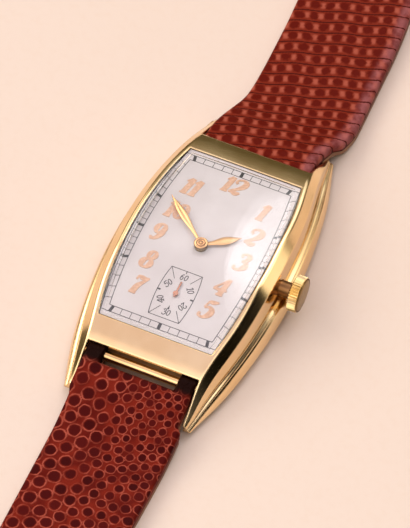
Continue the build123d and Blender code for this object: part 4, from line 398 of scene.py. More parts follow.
def jewel_material():
    n = new_material("ruby_jewel")
    depth = n.noise(2500.0, 2.0, 0.5)
    return n.surface({
        "Base Color": n.mix(depth, (0.42, 0.01, 0.05), (0.72, 0.03, 0.10)),
        "Roughness": 0.06,
        "IOR": 1.77,
        "Coat Weight": 0.6,
    })


def lizard_material():
    """Glazed lizard leather: a dark round scale, a lighter raised ring about it and a redder ground. The ring
    is partly its own lighter colour and partly painted highlight.
    """
    n = new_material("lizard_round")
    pores = n.noise(7000.0, 3.0, 0.6)
    far = n.maths("ADD", n.attribute("scale_distance"), n.wobble(1500.0, 2.0, 0.5, 0.17))
    disc = n.span(far, 0.29, 0.41, 1.0, 0.0)
    ring = n.times(n.span(far, 0.37, 0.42), n.span(far, 0.44, 0.52, 1.0, 0.0))
    # Painted highlight: noise lights some parts of the rings more than others, as the light would
    ring_highlight_breakup = n.span(n.noise(700.0, 2.0, 0.5), 0.36, 0.62, 0.25, 1.0)
    patches = n.span(n.noise(420.0, 2.0, 0.5), 0.35, 0.65)
    ground = n.mix(patches, (0.105, 0.006, 0.003), (0.18, 0.014, 0.006))
    tint = n.mix(n.times(ring, ring_highlight_breakup), ground, (0.39, 0.076, 0.046))
    dark = n.mix(n.attribute("scale_tone"), (0.040, 0.0016, 0.0016), (0.078, 0.004, 0.003))
    tint = n.mix(disc, tint, dark)
    tint = n.mix(n.span(pores, 0.5, 0.75, 0.0, 0.2), tint, (0.10, 0.008, 0.005))
    # Painted shade: the leather folded round the bar is darkened to near black, as it lies in shade under the
    # case
    tint = n.mix(n.attribute("edge_dye"), tint, (0.010, 0.002, 0.001))
    lift = n.maths("ADD", ring, n.times(pores, 0.25))
    return leather_surface(n, tint, pores, lift)


def row_lizard_material():
    """The upper strap's leather: rows of tall scales, lighter crosses of painted highlight between them and
    thin dark grooves.
    """
    n = new_material("lizard_rows")
    far = n.attribute("scale_distance")
    pores = n.noise(7000.0, 3.0, 0.6)
    wobble = n.wobble(1300.0, 3.0, 0.6, 0.5)
    blob = n.span(n.maths("ADD", far, wobble), 0.25, 0.5, 1.0, 0.0)
    cross_highlight = n.maths("ADD", n.attribute("scale_tone"), wobble, clamp=True)
    # Painted highlight: the crosses between the scales are lightened where the relief would catch the light
    tint = n.mix(cross_highlight, (0.185, 0.019, 0.007), (0.36, 0.078, 0.046))
    tint = n.mix(blob, tint, (0.105, 0.006, 0.002))
    # Painted sheen: a pinkish band along the right edge stands in for the gloss seen there
    sheen_mask = n.times(n.attribute("edge_rub"), n.span(n.noise(500.0, 3.0, 0.6), 0.35, 0.6, 0.2, 0.62))
    tint = n.mix(sheen_mask, tint, (0.36, 0.12, 0.12))
    tint = n.mix(n.span(far, 0.72, 0.92), tint, (0.06, 0.006, 0.004))
    tint = n.mix(n.span(pores, 0.5, 0.75, 0.0, 0.2), tint, (0.12, 0.010, 0.005))
    lift = n.maths("ADD", n.times(blob, -0.4), n.times(pores, 0.3))
    return leather_surface(n, tint, pores, lift)


def leather_surface(n, tint, pores, lift):
    return n.surface({
        "Base Color": tint,
        "Roughness": n.span(pores, 0.3, 0.75, 0.34, 0.55),
        "Specular IOR Level": 0.035,
        "Normal": n.bump(lift, 0.8, LEATHER_DEPTH),
    })


def lining_material():
    """Smooth calf lining with fine pores and rubbed patches."""
    n = new_material("lining_calf")
    rub_and_sheen = n.noise(160.0, 4.0, 0.6)
    pores = n.noise(4200.0, 4.0, 0.65)
    tint = n.mix(n.span(rub_and_sheen, 0.35, 0.7), (0.20, 0.085, 0.04), (0.30, 0.145, 0.075))
    return n.surface({
        "Base Color": n.mix(n.span(pores, 0.55, 0.75, 0.0, 0.4), tint, (0.12, 0.05, 0.025)),
        "Roughness": n.span(rub_and_sheen, 0.3, 0.7, 0.5, 0.68),
        "Normal": n.bump(pores, 0.5, LINING_DEPTH),
    })


def floor_material():
    n = new_material("floor_card")
    cloud = n.noise(6.0, 4.0, 0.55)
    fibre = n.noise(900.0, 4.0, 0.6)
    tint = n.mix(n.span(cloud, 0.3, 0.7), (0.73, 0.593, 0.50), (0.76, 0.625, 0.534))
    return n.surface({
        "Base Color": n.mix(n.span(fibre, 0.45, 0.7, 0.0, 0.08), tint, (0.68, 0.47, 0.33)),
        "Roughness": 0.85,
        "Normal": n.bump(fibre, 0.25, FLOOR_DEPTH),
    })


# Meshes


def add_piece(name, points, faces, material, body, slot, sharp=40.0, attributes=None):
    """A mesh piece from points in millimetres."""
    mesh = bpy.data.meshes.new(name)
    mesh.from_pydata((np.asarray(points, dtype=float) * MM).tolist(), [], faces)
    mesh.validate()
    mesh.polygons.foreach_set("use_smooth", [True] * len(mesh.polygons))
    mesh.set_sharp_from_angle(angle=math.radians(sharp))
    for key, values in (attributes or {}).items():
        layer = mesh.attributes.new(key, "FLOAT", "POINT")
        layer.data.foreach_set("value", np.asarray(values, dtype=np.float32))
    mesh.materials.append(material)
    piece = bpy.data.objects.new(name, mesh)
    bpy.context.scene.collection.objects.link(piece)
    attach(piece, body)
    return piece


def ring_faces(first, second, count):
    """Quads between two rings of points that start at first and second."""
    faces = []
    for k in range(count):
        after = (k + 1) % count
        faces.append((first + k, first + after, second + after, second + k))
    return faces


# The dial


def dial_height(y):
    return DIAL_TOP - (DIAL_ARCH - math.sqrt(DIAL_ARCH**2 - y**2))


class Print:
    """Flat marks with a little height that follow the dial's arch."""

    def __init__(self, height):
        self.height = height
        self.points, self.faces = [], []

    def ribbon(self, line, closed=False):
        """line has (x, y, width) along the stroke's middle."""
        start, count = len(self.points), len(line)
        for place, (x, y, width) in enumerate(line):
            before = line[(place - 1) % count] if closed or place > 0 else line[place]
            after = line[(place + 1) % count] if closed or place + 1 < count else line[place]
            along = Vector((after[0] - before[0], after[1] - before[1])).normalized()
            for side in (1, -1):
                px, py = x - side * along.y * width / 2, y + side * along.x * width / 2
                base = dial_height(py)
                self.points += [(px, py, base + self.height), (px, py, base + PRINT_BASE)]
        for place in range(count if closed else count - 1):
            a = start + 4 * place
            b = start + 4 * ((place + 1) % count)
            self.faces += [(a, a + 2, b + 2, b), (a + 1, b + 1, b + 3, a + 3)]
            self.faces += [(a + 1, a, b, b + 1), (a + 2, a + 3, b + 3, b + 2)]
        if not closed:
            end = start + 4 * (count - 1)
            self.faces += [(start, start + 1, start + 3, start + 2), (end, end + 2, end + 3, end + 1)]

    def bar(self, first, second, width, pieces=4):
        self.ribbon([(*between(first, second, step / pieces), width) for step in range(pieces + 1)])

    def outline(self, corners, width):
        """Bars round a closed line of (x, y) corners."""
        for first, second in zip(corners, corners[1:] + corners[:1]):
            self.bar(first, second, width, 1)

    def piece(self, name, material):
        return add_piece(name, self.points, self.faces, material, "case", "dial")


# Strokes of the numerals in a box one unit high: (across, up, width) along each stroke


def stroke(*points):
    return points, False


def ring(cx, cy, rx, ry, thin, thick):
    """A closed stroke that is thick at its sides."""
    points = []
    for cos, sin in circle(16):
        points.append((cx + rx * cos, cy + ry * sin, thin + (thick - thin) * abs(cos) ** 1.5))
    return points, True


def foot(left, middle, right):
    """The thin bar under an upright stroke."""
    return stroke((left, -0.47, 0.06), (middle, -0.45, 0.1), (right, -0.47, 0.06))


NUMERAL_STROKES = {
    "0": [ring(0.0, 0.0, 0.2, 0.42, 0.08, 0.2)],
    "1": [
        stroke((0.03, 0.5, 0.17), (0.03, 0.2, 0.19), (0.03, -0.2, 0.19), (0.03, -0.48, 0.19)),
        stroke((-0.2, 0.26, 0.05), (-0.1, 0.34, 0.10), (0.02, 0.46, 0.12)),
        foot(-0.15, 0.03, 0.21),
    ],
    "2": [
        stroke((-0.13, 0.17, 0.10), (-0.23, 0.24, 0.09), (-0.2, 0.4, 0.08), (0.0, 0.47, 0.10),
               (0.2, 0.36, 0.19), (0.22, 0.14, 0.21), (0.06, -0.12, 0.13), (-0.24, -0.38, 0.07)),
        stroke((-0.27, -0.4, 0.08), (-0.1, -0.37, 0.15), (0.1, -0.43, 0.18), (0.27, -0.34, 0.07)),
    ],
    "3": [
        stroke((-0.12, 0.26, 0.09), (-0.2, 0.36, 0.08), (-0.04, 0.47, 0.09), (0.15, 0.36, 0.18),
               (0.12, 0.14, 0.13), (-0.05, 0.05, 0.06)),
        stroke((-0.05, 0.05, 0.06), (0.17, -0.02, 0.14), (0.24, -0.22, 0.21), (0.06, -0.45, 0.11),
               (-0.2, -0.42, 0.09), (-0.2, -0.28, 0.1)),
    ],
    "4": [
        stroke((0.13, 0.48, 0.13), (0.12, 0.1, 0.18), (0.12, -0.45, 0.18)),
        stroke((0.1, 0.48, 0.07), (-0.1, 0.12, 0.07), (-0.3, -0.18, 0.07)),
        stroke((-0.32, -0.19, 0.08), (0.0, -0.19, 0.12), (0.33, -0.17, 0.07)),
        foot(-0.05, 0.12, 0.29),
    ],
    "5": [
        stroke((-0.13, 0.43, 0.10), (0.06, 0.43, 0.15), (0.28, 0.5, 0.07)),
        stroke((-0.13, 0.45, 0.07), (-0.16, 0.25, 0.07), (-0.18, 0.08, 0.07)),
        stroke((-0.18, 0.06, 0.06), (0.02, 0.14, 0.10), (0.22, 0.0, 0.2), (0.22, -0.24, 0.21),
               (0.02, -0.45, 0.10), (-0.22, -0.38, 0.09), (-0.2, -0.24, 0.1)),
    ],
    "6": [
        ring(0.02, -0.2, 0.18, 0.26, 0.08, 0.18),
        stroke((-0.16, -0.22, 0.12), (-0.16, 0.08, 0.18), (-0.02, 0.36, 0.12), (0.16, 0.44, 0.08)),
    ],
    "7": [
        stroke((-0.24, 0.24, 0.06), (-0.22, 0.42, 0.09), (-0.05, 0.4, 0.17), (0.12, 0.4, 0.12),
               (0.27, 0.47, 0.06)),
        stroke((0.25, 0.45, 0.07), (0.1, 0.16, 0.12), (-0.02, -0.1, 0.19), (-0.04, -0.46, 0.21)),
        foot(-0.2, -0.04, 0.14),
    ],
    "8": [ring(0.02, 0.25, 0.15, 0.21, 0.08, 0.16), ring(0.0, -0.23, 0.2, 0.24, 0.08, 0.2)],
    "9": [
        ring(-0.02, 0.2, 0.18, 0.26, 0.08, 0.18),
        stroke((0.17, 0.22, 0.12), (0.17, -0.05, 0.2), (0.06, -0.36, 0.13), (-0.13, -0.44, 0.09),
               (-0.18, -0.32, 0.09)),
    ],
}
NUMERAL_WIDTH, ONE_WIDTH = 0.6, 0.4


def write_number(out, text, place, height, slant, turn=0.0, weight=1.0, plain=None):
    """Sets a number's strokes on the dial, centred at place. plain gives every stroke one width."""
    widths = [ONE_WIDTH if letter == "1" else NUMERAL_WIDTH for letter in text]
    across = -sum(widths) / 2
    cos, sin = math.cos(turn), math.sin(turn)
    for letter, width in zip(text, widths):
        middle = across + width / 2
        across += width
        for points, closed in NUMERAL_STROKES[letter]:
            line = []
            for x, y, w in smooth_line(points, 5, closed):
                x, y = (x + middle + slant * y) * height, y * height
                w = (plain if plain is not None else w * weight) * height
                line.append((place[0] + x * cos - y * sin, place[1] + x * sin + y * cos, w))
            out.ribbon(line, closed)


def track_side(y, offset):
    return TRACK_SIDE + offset - TRACK_BEND * y * y


def track_outline(out, offset):
    """One line of the minute track, as a closed tonneau."""
    end = TRACK_END + offset
    heights = [-end + 2 * end * k / 24 for k in range(25)]
    line = [(track_side(y, offset), y) for y in heights]
    corner = track_side(end, offset)
    line += [(corner - 2 * corner * k / 12, end) for k in range(1, 12)]
    line += [(-x, -y) for x, y in line]
    out.outline(line, TRACK_LINE)


def minute_track(out):
    track_outline(out, TRACK_HALF)
    track_outline(out, -TRACK_HALF)
    for mirror_x in (1, -1):
        for mirror_y in (1, -1):
            for y in SIDE_TICKS:
                x, lean = track_side(y, 0.0), TICK_LEAN * y / TRACK_END
                inner = (mirror_x * (x - TRACK_HALF), mirror_y * (y - lean))
                outer = (mirror_x * (x + TRACK_HALF), mirror_y * (y + lean))
                out.bar(inner, outer, TICK_WIDTH)
            for k in range(1, 5):
                x = mirror_x * END_MARK_X * k / 5
                inner, outer = mirror_y * (TRACK_END - TRACK_HALF), mirror_y * (TRACK_END + TRACK_HALF)
                out.bar((x, inner), (x, outer), TICK_WIDTH)


def five_minute_marks(out):
    """The thick marks of the minute track: two on each axis and two mirrored into every quarter."""
    for side in (1, -1):
        for (x1, y1), (x2, y2), width in AXIS_MARKS:
            out.bar((side * x1, side * y1), (side * x2, side * y2), width)
        for up in (1, -1):
            for (x1, y1), (x2, y2), width in QUARTER_MARKS:
                out.bar((side * x1, up * y1), (side * x2, up * y2), width)


def subdial_marks(out):
    """The small seconds: a tonneau frame, part diagonals, quarter ticks and the seconds."""
    cx, cy = SUBDIAL
    half, wide = SUBDIAL_HALF, SUBDIAL_WIDE
    right = []
    for k in range(21):
        y = -half + 2 * half * k / 20
        right.append((cx + wide + SUBDIAL_BULGE * (1 - (y / half) ** 2), cy + y))
    left = [(2 * cx - x, y) for x, y in reversed(right)]
    out.outline(right + left, TRACK_LINE)
    for side in (1, -1):
        for up in (1, -1):
            corner = (cx + side * wide, cy + up * half)
            inner = (cx + side * wide * DIAGONAL_END[0], cy + up * half * DIAGONAL_END[1])
            out.bar(corner, inner, TICK_WIDTH)
        out.bar((cx + side * SIDE_MARK[0], cy), (cx + side * SIDE_MARK[1], cy), SIDE_MARK[2])
    out.ribbon([(cx, cy - down, width) for down, width in LOW_MARK])
    out.bar((cx, cy + half), (cx, cy + half - TOP_MARK[0]), TOP_MARK[1])
    for text, place, turn in SECONDS:
        place = (cx + place[0], cy + place[1])
        write_number(out, text, place, SECONDS_HEIGHT, SECONDS_SLANT, turn, plain=SECONDS_LINE)


def face():
    """What is printed on the dial and the raised hour numerals."""
    ink = ink_material("dial_ink", (0.012, 0.010, 0.012), (0.035, 0.03, 0.03))
    rose = ink_material("numeral_rose", (0.64, 0.37, 0.245), (0.80, 0.52, 0.36), 0.2, 0.4)
    for name, draw in (
        ("minute_track", minute_track),
        ("five_minute_marks", five_minute_marks),
        ("small_seconds_track", subdial_marks),
    ):
        marks = Print(PRINT_HEIGHT)
        draw(marks)
        marks.piece(name, ink)
    numerals = Print(NUMERAL_RELIEF)
    for text, place in HOURS.items():
        write_number(numerals, text, place, HOUR_HEIGHT, HOUR_SLANT, weight=HOUR_WEIGHT)
    numerals.piece("hour_numerals", rose)


# The hands and the crown


def torus_profile(radius, thick, height):
    """Half-round ring, from its inner foot over the top to its outer foot."""
    angles = [math.pi * k / 8 for k in range(9)]
    return [(radius - thick * math.cos(a), height * math.sin(a)) for a in angles]


def hub_rings(gold, hub_shade):
    """Turned rings on the hands' hub: a dark cup of painted shade, two gold rings and a bright domed centre.
    """
    top, wall, foot_edge = [(0.0, 0.01), (0.80, 0.01)], [(0.855, -0.03), (0.865, -0.2)], (0.80, -0.21)
    turned_z("hub_cup", [*top, *wall, foot_edge, (0.80, -0.01), (0.0, -0.01)], hub_shade, 48)
    turned_z("hub_outer_ring", torus_profile(0.68, 0.13, 0.10), gold, 48)
    turned_z("hub_inner_ring", torus_profile(0.37, 0.09, 0.12), gold, 48)
    turned_z("hub_pin", [(0.0, 0.15), (0.07, 0.135), (0.13, 0.10), (0.17, 0.03), (0.17, 0.0)], gold, 32)


def turned_z(name, profile, material, turns):
    """A turned piece on the hub, from (radius, height) points. A radius of 0 is one point."""
    points, rings = [], []
    for radius, height in profile:
        steps = circle(turns) if radius else [(0.0, 0.0)]
        rings.append(range(len(points), len(points) + len(steps)))
        points += [(radius * cos, radius * sin, HUB_TOP + height) for cos, sin in steps]
    faces = []
    for first, second in zip(rings, rings[1:]):
        for k in range(turns):
            a, b = first[k % len(first)], first[(k + 1) % len(first)]
            c, d = second[(k + 1) % len(second)], second[k % len(second)]
            faces.append(tuple(dict.fromkeys((a, d, c, b))))
    return add_piece(name, points, faces, material, "centre", "hand_gold", 35.0)


def hand_piece(name, hand, material, body):
    """A leaf hand with a ridge along its middle, from under the hub to its tip."""
    turn = math.radians(hand["angle"])
    cos, sin = math.cos(turn), math.sin(turn)
    outline = [(share * hand["length"], 0.5 * hand["width"] * part) for share, part in HAND_OUTLINE]
    points, starts = [], []
    for y, half in smooth_line(outline, 6):
        y = max(y, hand["hub"] * 0.5)
        starts.append(len(points))
        for across, up in HAND_SECTION:
            x = across * half
            height = hand["base"] + (hand["ridge"] - hand["base"]) * up
            points.append((x * cos + y * sin, y * cos - x * sin, height))
    count = len(HAND_SECTION)
    faces = []
    for first, second in zip(starts, starts[1:]):
        faces += ring_faces(first, second, count)
    faces.append(tuple(range(count))[::-1])
    faces.append(tuple(range(starts[-1], starts[-1] + count)))
    return add_piece(name, points, faces, material, body, "hand_gold", 12.0)


def crown():
    """The winding crown: a knurled side, a groove round its face and a softly domed face. The face and the
    groove are darker copies of the gold, with painted shade.
    """
    side = metal("crown_side_gold", (0.86, 0.65, 0.32), (0.62, 0.43, 0.18), 0.16, edge=0.015)
    # Painted shade: the face and the groove use darker gold than the side, for the shade they show
    front = metal("crown_face_gold_painted_shade", (0.36, 0.235, 0.08), (0.25, 0.15, 0.045), 0.24, edge=0.015)
    groove = metal("crown_groove_painted_shade", (0.20, 0.11, 0.03), (0.12, 0.06, 0.015), 0.4, edge=0.015)
    wall = [(0.0, 1.5), (0.0, 2.0), (0.10, 2.17), (0.14, 2.24)]
    wall += [(1.16, 2.24), (1.22, 2.2), (1.27, 2.14), (1.27, 1.5)]
    sunk = [(1.27, 2.13), (1.34, 2.11), (1.36, 2.04), (1.31, 1.98), (1.28, 1.9)]
    domed = [(1.28, 1.97), (1.36, 1.93), (1.40, 1.84), (1.44, 1.3), (1.465, 0.6), (1.47, 0.05)]
    turned_x("crown_knurled_side", wall, side, knurled=(3, 4), inner_cap=True)
    turned_x("crown_face_groove", sunk, groove)
    piece = turned_x("crown_face", domed, front, outer_cap=True)
    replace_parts(piece, "crown")


def turned_x(name, profile, material, knurled=(), inner_cap=False, outer_cap=False):
    """A turned piece about the stem, from (out, radius) points. knurled has the places of the fluted ones."""
    turns = CROWN_FLUTES * CROWN_FLUTE_POINTS
    points, faces = [], []
    for place, (out, radius) in enumerate(profile):
        for k, (cos, sin) in enumerate(circle(turns)):
            wave = 0.5 - 0.5 * math.cos(2 * math.pi * k / CROWN_FLUTE_POINTS)
            reach = radius - (CROWN_FLUTE_DEPTH * wave**0.7 if place in knurled else 0.0)
            points.append((CROWN_INNER_X + out, reach * cos, STEM_HEIGHT + reach * sin))
    for place in range(len(profile) - 1):
        faces += ring_faces(place * turns, (place + 1) * turns, turns)
    if outer_cap:
        faces.append(tuple(range(len(points) - turns, len(points))))
    if inner_cap:
        faces.append(tuple(range(turns))[::-1])
    return add_piece(name, points, faces, material, "stem", "gold", 30.0)


# The leather sheets, as rows across the strap and columns along it


def settle(y):
    """How far the strap has come down from the bar to its own level."""
    return ease(y, BAR_Y, DROP_LENGTH)


def rise(y, buckled):
    """How far the upper strap lifts towards its keepers and buckle."""
    return RISE * ease(y, RISE_START, RISE_REACH) if buckled else 0.0


def under_height(y, buckled):
    return (BAR_Z - LOOP_OUTER) * (1 - settle(y)) + rise(y, buckled)


def upper_height(y, buckled):
    loop_top = BAR_Z + LOOP_OUTER
    return loop_top + (STRAP_THICK - loop_top) * settle(y) + rise(y, buckled)


def shoulder_share(y):
    return min(max((y - LUG_END) / (SHOULDER_END - LUG_END), 0.0), 1.0)


def half_width(y, buckled):
    """Half the strap's width: narrow between the lugs, then a shoulder and an even taper."""
    if y < SHOULDER_END:
        return LUG_HALF + (SHOULDER_HALF - LUG_HALF) * shoulder_share(y)
    end_half, end_y = BUCKLE_TAPER if buckled else FREE_TAPER
    return SHOULDER_HALF + (end_half - SHOULDER_HALF) * (y - SHOULDER_END) / (end_y - SHOULDER_END)


def row_kind(y, buckled):
    """What is cut from a row: the notch between its tabs, the buckle's slot or nothing but holes."""
    if buckled:
        return "slot" if y > SLOT_START - HAIR else "main"
    return "tab" if y < NOTCH_END - HAIR else "main"


def bore_reach(y, centre_y):
    """How far above and below a bar's middle its bore reaches."""
    return math.sqrt(max(LOOP_INNER**2 - (y - centre_y) ** 2, 0.0))


def row_stations(start, end, steps):
    """Places along the strap. steps is a list of (up to, spacing)."""
    places = [start]
    for limit, spacing in steps:
        limit = min(limit, end)
        first = places[-1]
        count = max(1, round((limit - first) / spacing))
        places += [first + (limit - first) * k / count for k in range(1, count + 1)]
        if limit >= end:
            break
    return places


def sheet_stations(buckled, steps):
    """Places from the bar to the buckle's bar or to the point: fine beside the notch, then by steps."""
    last = BUCKLE_Y if buckled else POINT_START
    return row_stations(BAR_Y, NOTCH_END, [(NOTCH_END, 0.2)]) + row_stations(NOTCH_END, last, steps)[1:]


def loop_row(centre_y, centre_z, outer, degrees, half, kind):
    """A row of the leather's fold round a bar."""
    cos, sin = math.cos(math.radians(degrees)), math.sin(math.radians(degrees))
    top = (centre_y + outer * cos, centre_z + outer * sin)
    return Row(*top, centre_y + LOOP_INNER * cos, centre_z + LOOP_INNER * sin, half, kind)


def bar_seam(y, seam):
    """The leather's underside beside the notch: over the bar's bore, then straight to the seam."""
    if y < BAR_Y + LOOP_INNER:
        return BAR_Z + bore_reach(y, BAR_Y)
    return BAR_Z + (seam - BAR_Z) * (y - BAR_Y - LOOP_INNER) / (NOTCH_END - BAR_Y - LOOP_INNER)


def buckle_seam(y, seam):
    """The leather's underside near the buckle's bar: up from the seam and over the bore."""
    if y > BUCKLE_Y - LOOP_INNER:
        return BUCKLE_Z + bore_reach(y, BUCKLE_Y)
    return seam + (BUCKLE_Z - seam) * (y - BUCKLE_Y + BUCKLE_BLEND) / (BUCKLE_BLEND - LOOP_INNER)


def leather_rows(buckled, steps):
    """Rows of the outer leather, from under the bar's loop to the strap's end."""
    rows = []
    turns = [180 * k / LOOP_STEPS for k in range(LOOP_STEPS + 1)]
    for turn in turns[:-1]:
        rows.append(loop_row(BAR_Y, BAR_Z, LOOP_OUTER, -90 - turn, LUG_HALF, row_kind(BAR_Y, buckled)))
    for y in sheet_stations(buckled, steps):
        seam = under_height(y, buckled) + LINING_THICK
        if y < NOTCH_END - HAIR:
            seam = bar_seam(y, seam)
        if buckled and y > BUCKLE_Y - BUCKLE_BLEND:
            seam = buckle_seam(y, seam)
        rows.append(Row(y, upper_height(y, buckled), y, seam, half_width(y, buckled), row_kind(y, buckled)))
    if not buckled:
        return rows + point_rows(STRAP_THICK, LINING_THICK)
    for turn in turns[1:]:
        rows.append(loop_row(BUCKLE_Y, BUCKLE_Z, BUCKLE_LOOP, 90 - turn, BUCKLE_TAPER[0], "slot"))
    return rows


def lining_rows(buckled, steps):
    rows = []
    for y in sheet_stations(buckled, steps):
        base = under_height(y, buckled)
        top = base + LINING_THICK
        if y < BAR_Y + LOOP_INNER:
            top = min(top, BAR_Z - bore_reach(y, BAR_Y))
        if buckled and y > BUCKLE_Y - LOOP_INNER:
            top = min(top, BUCKLE_Z - bore_reach(y, BUCKLE_Y))
        rows.append(Row(y, top, y, base, half_width(y, buckled), row_kind(y, buckled)))
    return rows if buckled else rows + point_rows(LINING_THICK, 0.0)


def point_rows(top, base):
    """The free end, which narrows along a smooth curve to a blunt point."""
    rows = []
    edge = half_width(POINT_START, False)
    reach = math.hypot(edge - TIP_HALF, TIP_Y - POINT_START)
    for k in range(1, POINT_STEPS + 1):
        t = k / POINT_STEPS
        y = hermite(POINT_START, reach, TIP_Y, 0.0, t)
        x = hermite(edge, 0.0, TIP_HALF, -reach, t)
        rows.append(Row(y, top, y, base, max(x, TIP_HALF), "main"))
    return rows


def column_shares(spacing):
    """Columns as (zone, share): zone 0 is the middle, 1 the next and 2 the outer part on each side."""
    outer = [*np.linspace(0, 0.8, round(2.2 / spacing) + 1)[1:], 0.85, 0.9, 0.94, 0.97, 0.99, 1.0]
    inner = np.linspace(0, 1, round(3.4 / spacing) + 1)[1:]
    right = [(1, share) for share in inner] + [(2, share) for share in outer]
    left = [(-zone, share) for zone, share in reversed(right)]
    middle = round(2.8 / spacing)
    centre = [(0, -1 + 2 * k / middle) for k in range(middle + 1)]
    return left + centre + right


def column_x(column, width):
    """Where a column lies across a row. The zones end at the slot's and the notch's edges."""
    zone, share = column
    shrink = min(1.0, width / FREE_TAPER[0])
    slot, notch = SLOT_HALF * shrink, NOTCH_HALF * shrink
    side = -1 if zone < 0 else 1
    if zone == 0:
        return slot * share
    if abs(zone) == 1:
        return side * (slot + (notch - slot) * share)
    return side * (notch + (width - notch) * share)


def lower_x(x, y):
    """The lower strap's own line, before it is turned: its left side lies further in near the lugs."""
    if x <= 0.0:
        return x
    return x * (1.0 - LOWER_SHARE * shoulder_share(y) * fade(y, LOWER_START, LOWER_REACH))


def lean_x(x, y):
    """The upper strap's own line: it leans to the crown's side, narrows a little and comes back straight."""
    back = fade(y, STRAIGHT_START, STRAIGHT_REACH)
    narrow = 1.0 - NARROW_SHARE * ease(y, NARROW_START, NARROW_REACH) * back
    if x < 0.0:
        left = shoulder_share(y) * fade(y, LEFT_START, LEFT_REACH)
        narrow *= 1.0 - (1.0 - LUG_HALF / SHOULDER_HALF) * left
    return x * narrow + LEAN * ease(y, LEAN_START, LEAN_REACH) * back


# Scales


class ScaleField:
    """Centres of lizard scales over (across, along), packed with a size that changes from place to place."""

    def __init__(self, width, length, size, seed):
        draw = random.Random(seed)
        centres, grid = [], {}
        self.radii = []
        y = -SCAN_MARGIN
        while y < length + SCAN_MARGIN:
            x = -width + draw.uniform(0.0, 0.4)
            while x < width:
                jx, jy = x + draw.gauss(0, SCALE_JITTER), y + draw.gauss(0, SCALE_JITTER)
                radius = size(jx, jy) * draw.uniform(0.93, 1.06)
                if self.clear(grid, jx, jy, radius):
                    grid.setdefault((math.floor(jx), math.floor(jy)), []).append((jx, jy, radius))
                    centres.append((jx, jy))
                    self.radii.append(radius)
                x += SCAN_STEP
            y += SCAN_STEP
        self.tones = [draw.random() for _ in centres]
        self.tree = kdtree.KDTree(len(centres))
        for place, (x, y) in enumerate(centres):
            self.tree.insert((x, y, 0.0), place)
        self.tree.balance()

    @staticmethod
    def clear(grid, x, y, radius):
        cx, cy = math.floor(x), math.floor(y)
        for ix in range(cx - 2, cx + 3):
            for iy in range(cy - 2, cy + 3):
                for ox, oy, other in grid.get((ix, iy), ()):
                    gap = (radius + other) / 2
                    if (ox - x) ** 2 + (oy - y) ** 2 < gap * gap:
                        return False
        return True

    def at(self, x, y):
        """Distance from the scale's centre as a share of its pitch, the scale's own tone and its height."""
        best, tone = 9.0, 0.0
        for _, place, distance in self.tree.find_n((x, y, 0.0), 3):
            share = distance / self.radii[place]
            if share < best:
                best, tone = share, self.tones[place]
        pad = fade(best, 0.36, 0.16)
        rim = math.exp(-((best - 0.47) / 0.05) ** 2)
        return best, tone, 0.55 * pad + 0.5 * rim - 0.5


class RowField:
    """Scales of the upper strap: straight slanting rows of tall scales with lighter crosses of painted
    highlight between them.
    """

    def __init__(self, seed):
        draw = random.Random(seed)
        self.shifts = [draw.uniform(-0.07, 0.07) for _ in range(ROW_COUNT)]
        self.sway = [draw.uniform(0.0, 6.28) for _ in range(ROW_COUNT)]

    def at(self, x, y):
        """How far out in its scale a point lies, how much painted highlight it gets and its height."""
        cos, sin = math.cos(ROW_SLANT), math.sin(ROW_SLANT)
        across = (x * cos + y * sin) / ROW_PITCH_ACROSS
        along = (y * cos - x * sin) / ROW_PITCH_ALONG + 0.05 * math.sin(1.1 * x + 0.35 * y)
        row = math.floor(along + 0.5)
        across += self.shifts[row % ROW_COUNT] - ROW_DRIFT * row
        across += 0.04 * math.sin(2.1 * x + self.sway[row % ROW_COUNT])
        u, w = across - math.floor(across + 0.5), along - row
        inside = math.hypot(u / 0.42, w / 0.5)
        # Painted highlight: the crosses between scales get a lighter colour
        cross_highlight = ease(abs(u), 0.26, 0.18) * fade(abs(w), 0.12, 0.26)
        groove = ease(abs(w), 0.39, 0.09)
        height = 0.5 * fade(inside, 0.35) - 1.1 * groove + 0.35 * math.cos(math.pi * w)
        gathered = 1.0 + 1.1 * fade(y, 8.0, 7.0)
        edge = 0.6 + 0.4 * groove if groove > 0.05 else 0.0
        return max(0.5 * inside, edge), cross_highlight, height * gathered


def large_scales(x, y):
    """Scale pitch of the lower strap: large on one side, small on the other, and even further down."""
    side = ease((3.5 - x) / 6.0)
    return LARGE_PITCH - (SMALL_STEP - SMALL_STEP_LOST * ease(y, 10.0, 14.0)) * side


# Sheets and keepers


def cut_cells(rows, columns, holes):
    """Which cells of the sheet are leather: not the notch, the buckle's slot or the holes."""
    keep = np.ones((len(rows) - 1, len(columns) - 1), dtype=bool)
    for i, (row, after) in enumerate(zip(rows, rows[1:])):
        kinds = {row.kind, after.kind}
        for j, (column, beside) in enumerate(zip(columns, columns[1:])):
            zone = max(abs(column[0]), abs(beside[0]))
            if "tab" in kinds and zone < 2:
                keep[i, j] = False
            if kinds == {"slot"} and zone == 0:
                keep[i, j] = False
            if row.kind == "main" and zone == 0:
                x = (column_x(column, row.half) + column_x(beside, row.half)) / 2
                y = (row.top_y + after.top_y) / 2
                if any(x * x + (y - hole) ** 2 < HOLE_RADIUS**2 for hole in holes):
                    keep[i, j] = False
    return keep


def snap_to_holes(grid_top, grid_base, keep, holes):
    """Moves the vertices about each hole onto its circle."""
    rows, columns = keep.shape
    for i in range(1, rows):
        if not any(abs(grid_top[i, 0, 1] - hole) < HOLE_RADIUS + 0.4 for hole in holes):
            continue
        for j in range(1, columns):
            around = keep[i - 1 : i + 1, j - 1 : j + 1]
            if around.all() or not around.any():
                continue
            x, y = grid_top[i, j, 0], grid_top[i, j, 1]
            hole = min(holes, key=lambda place: abs(place - y))
            reach = math.hypot(x, y - hole)
            if 0.3 < reach < HOLE_RADIUS + 0.45:
                for grid in (grid_top, grid_base):
                    grid[i, j, 0] = x * HOLE_RADIUS / reach
                    grid[i, j, 1] = hole + (y - hole) * HOLE_RADIUS / reach


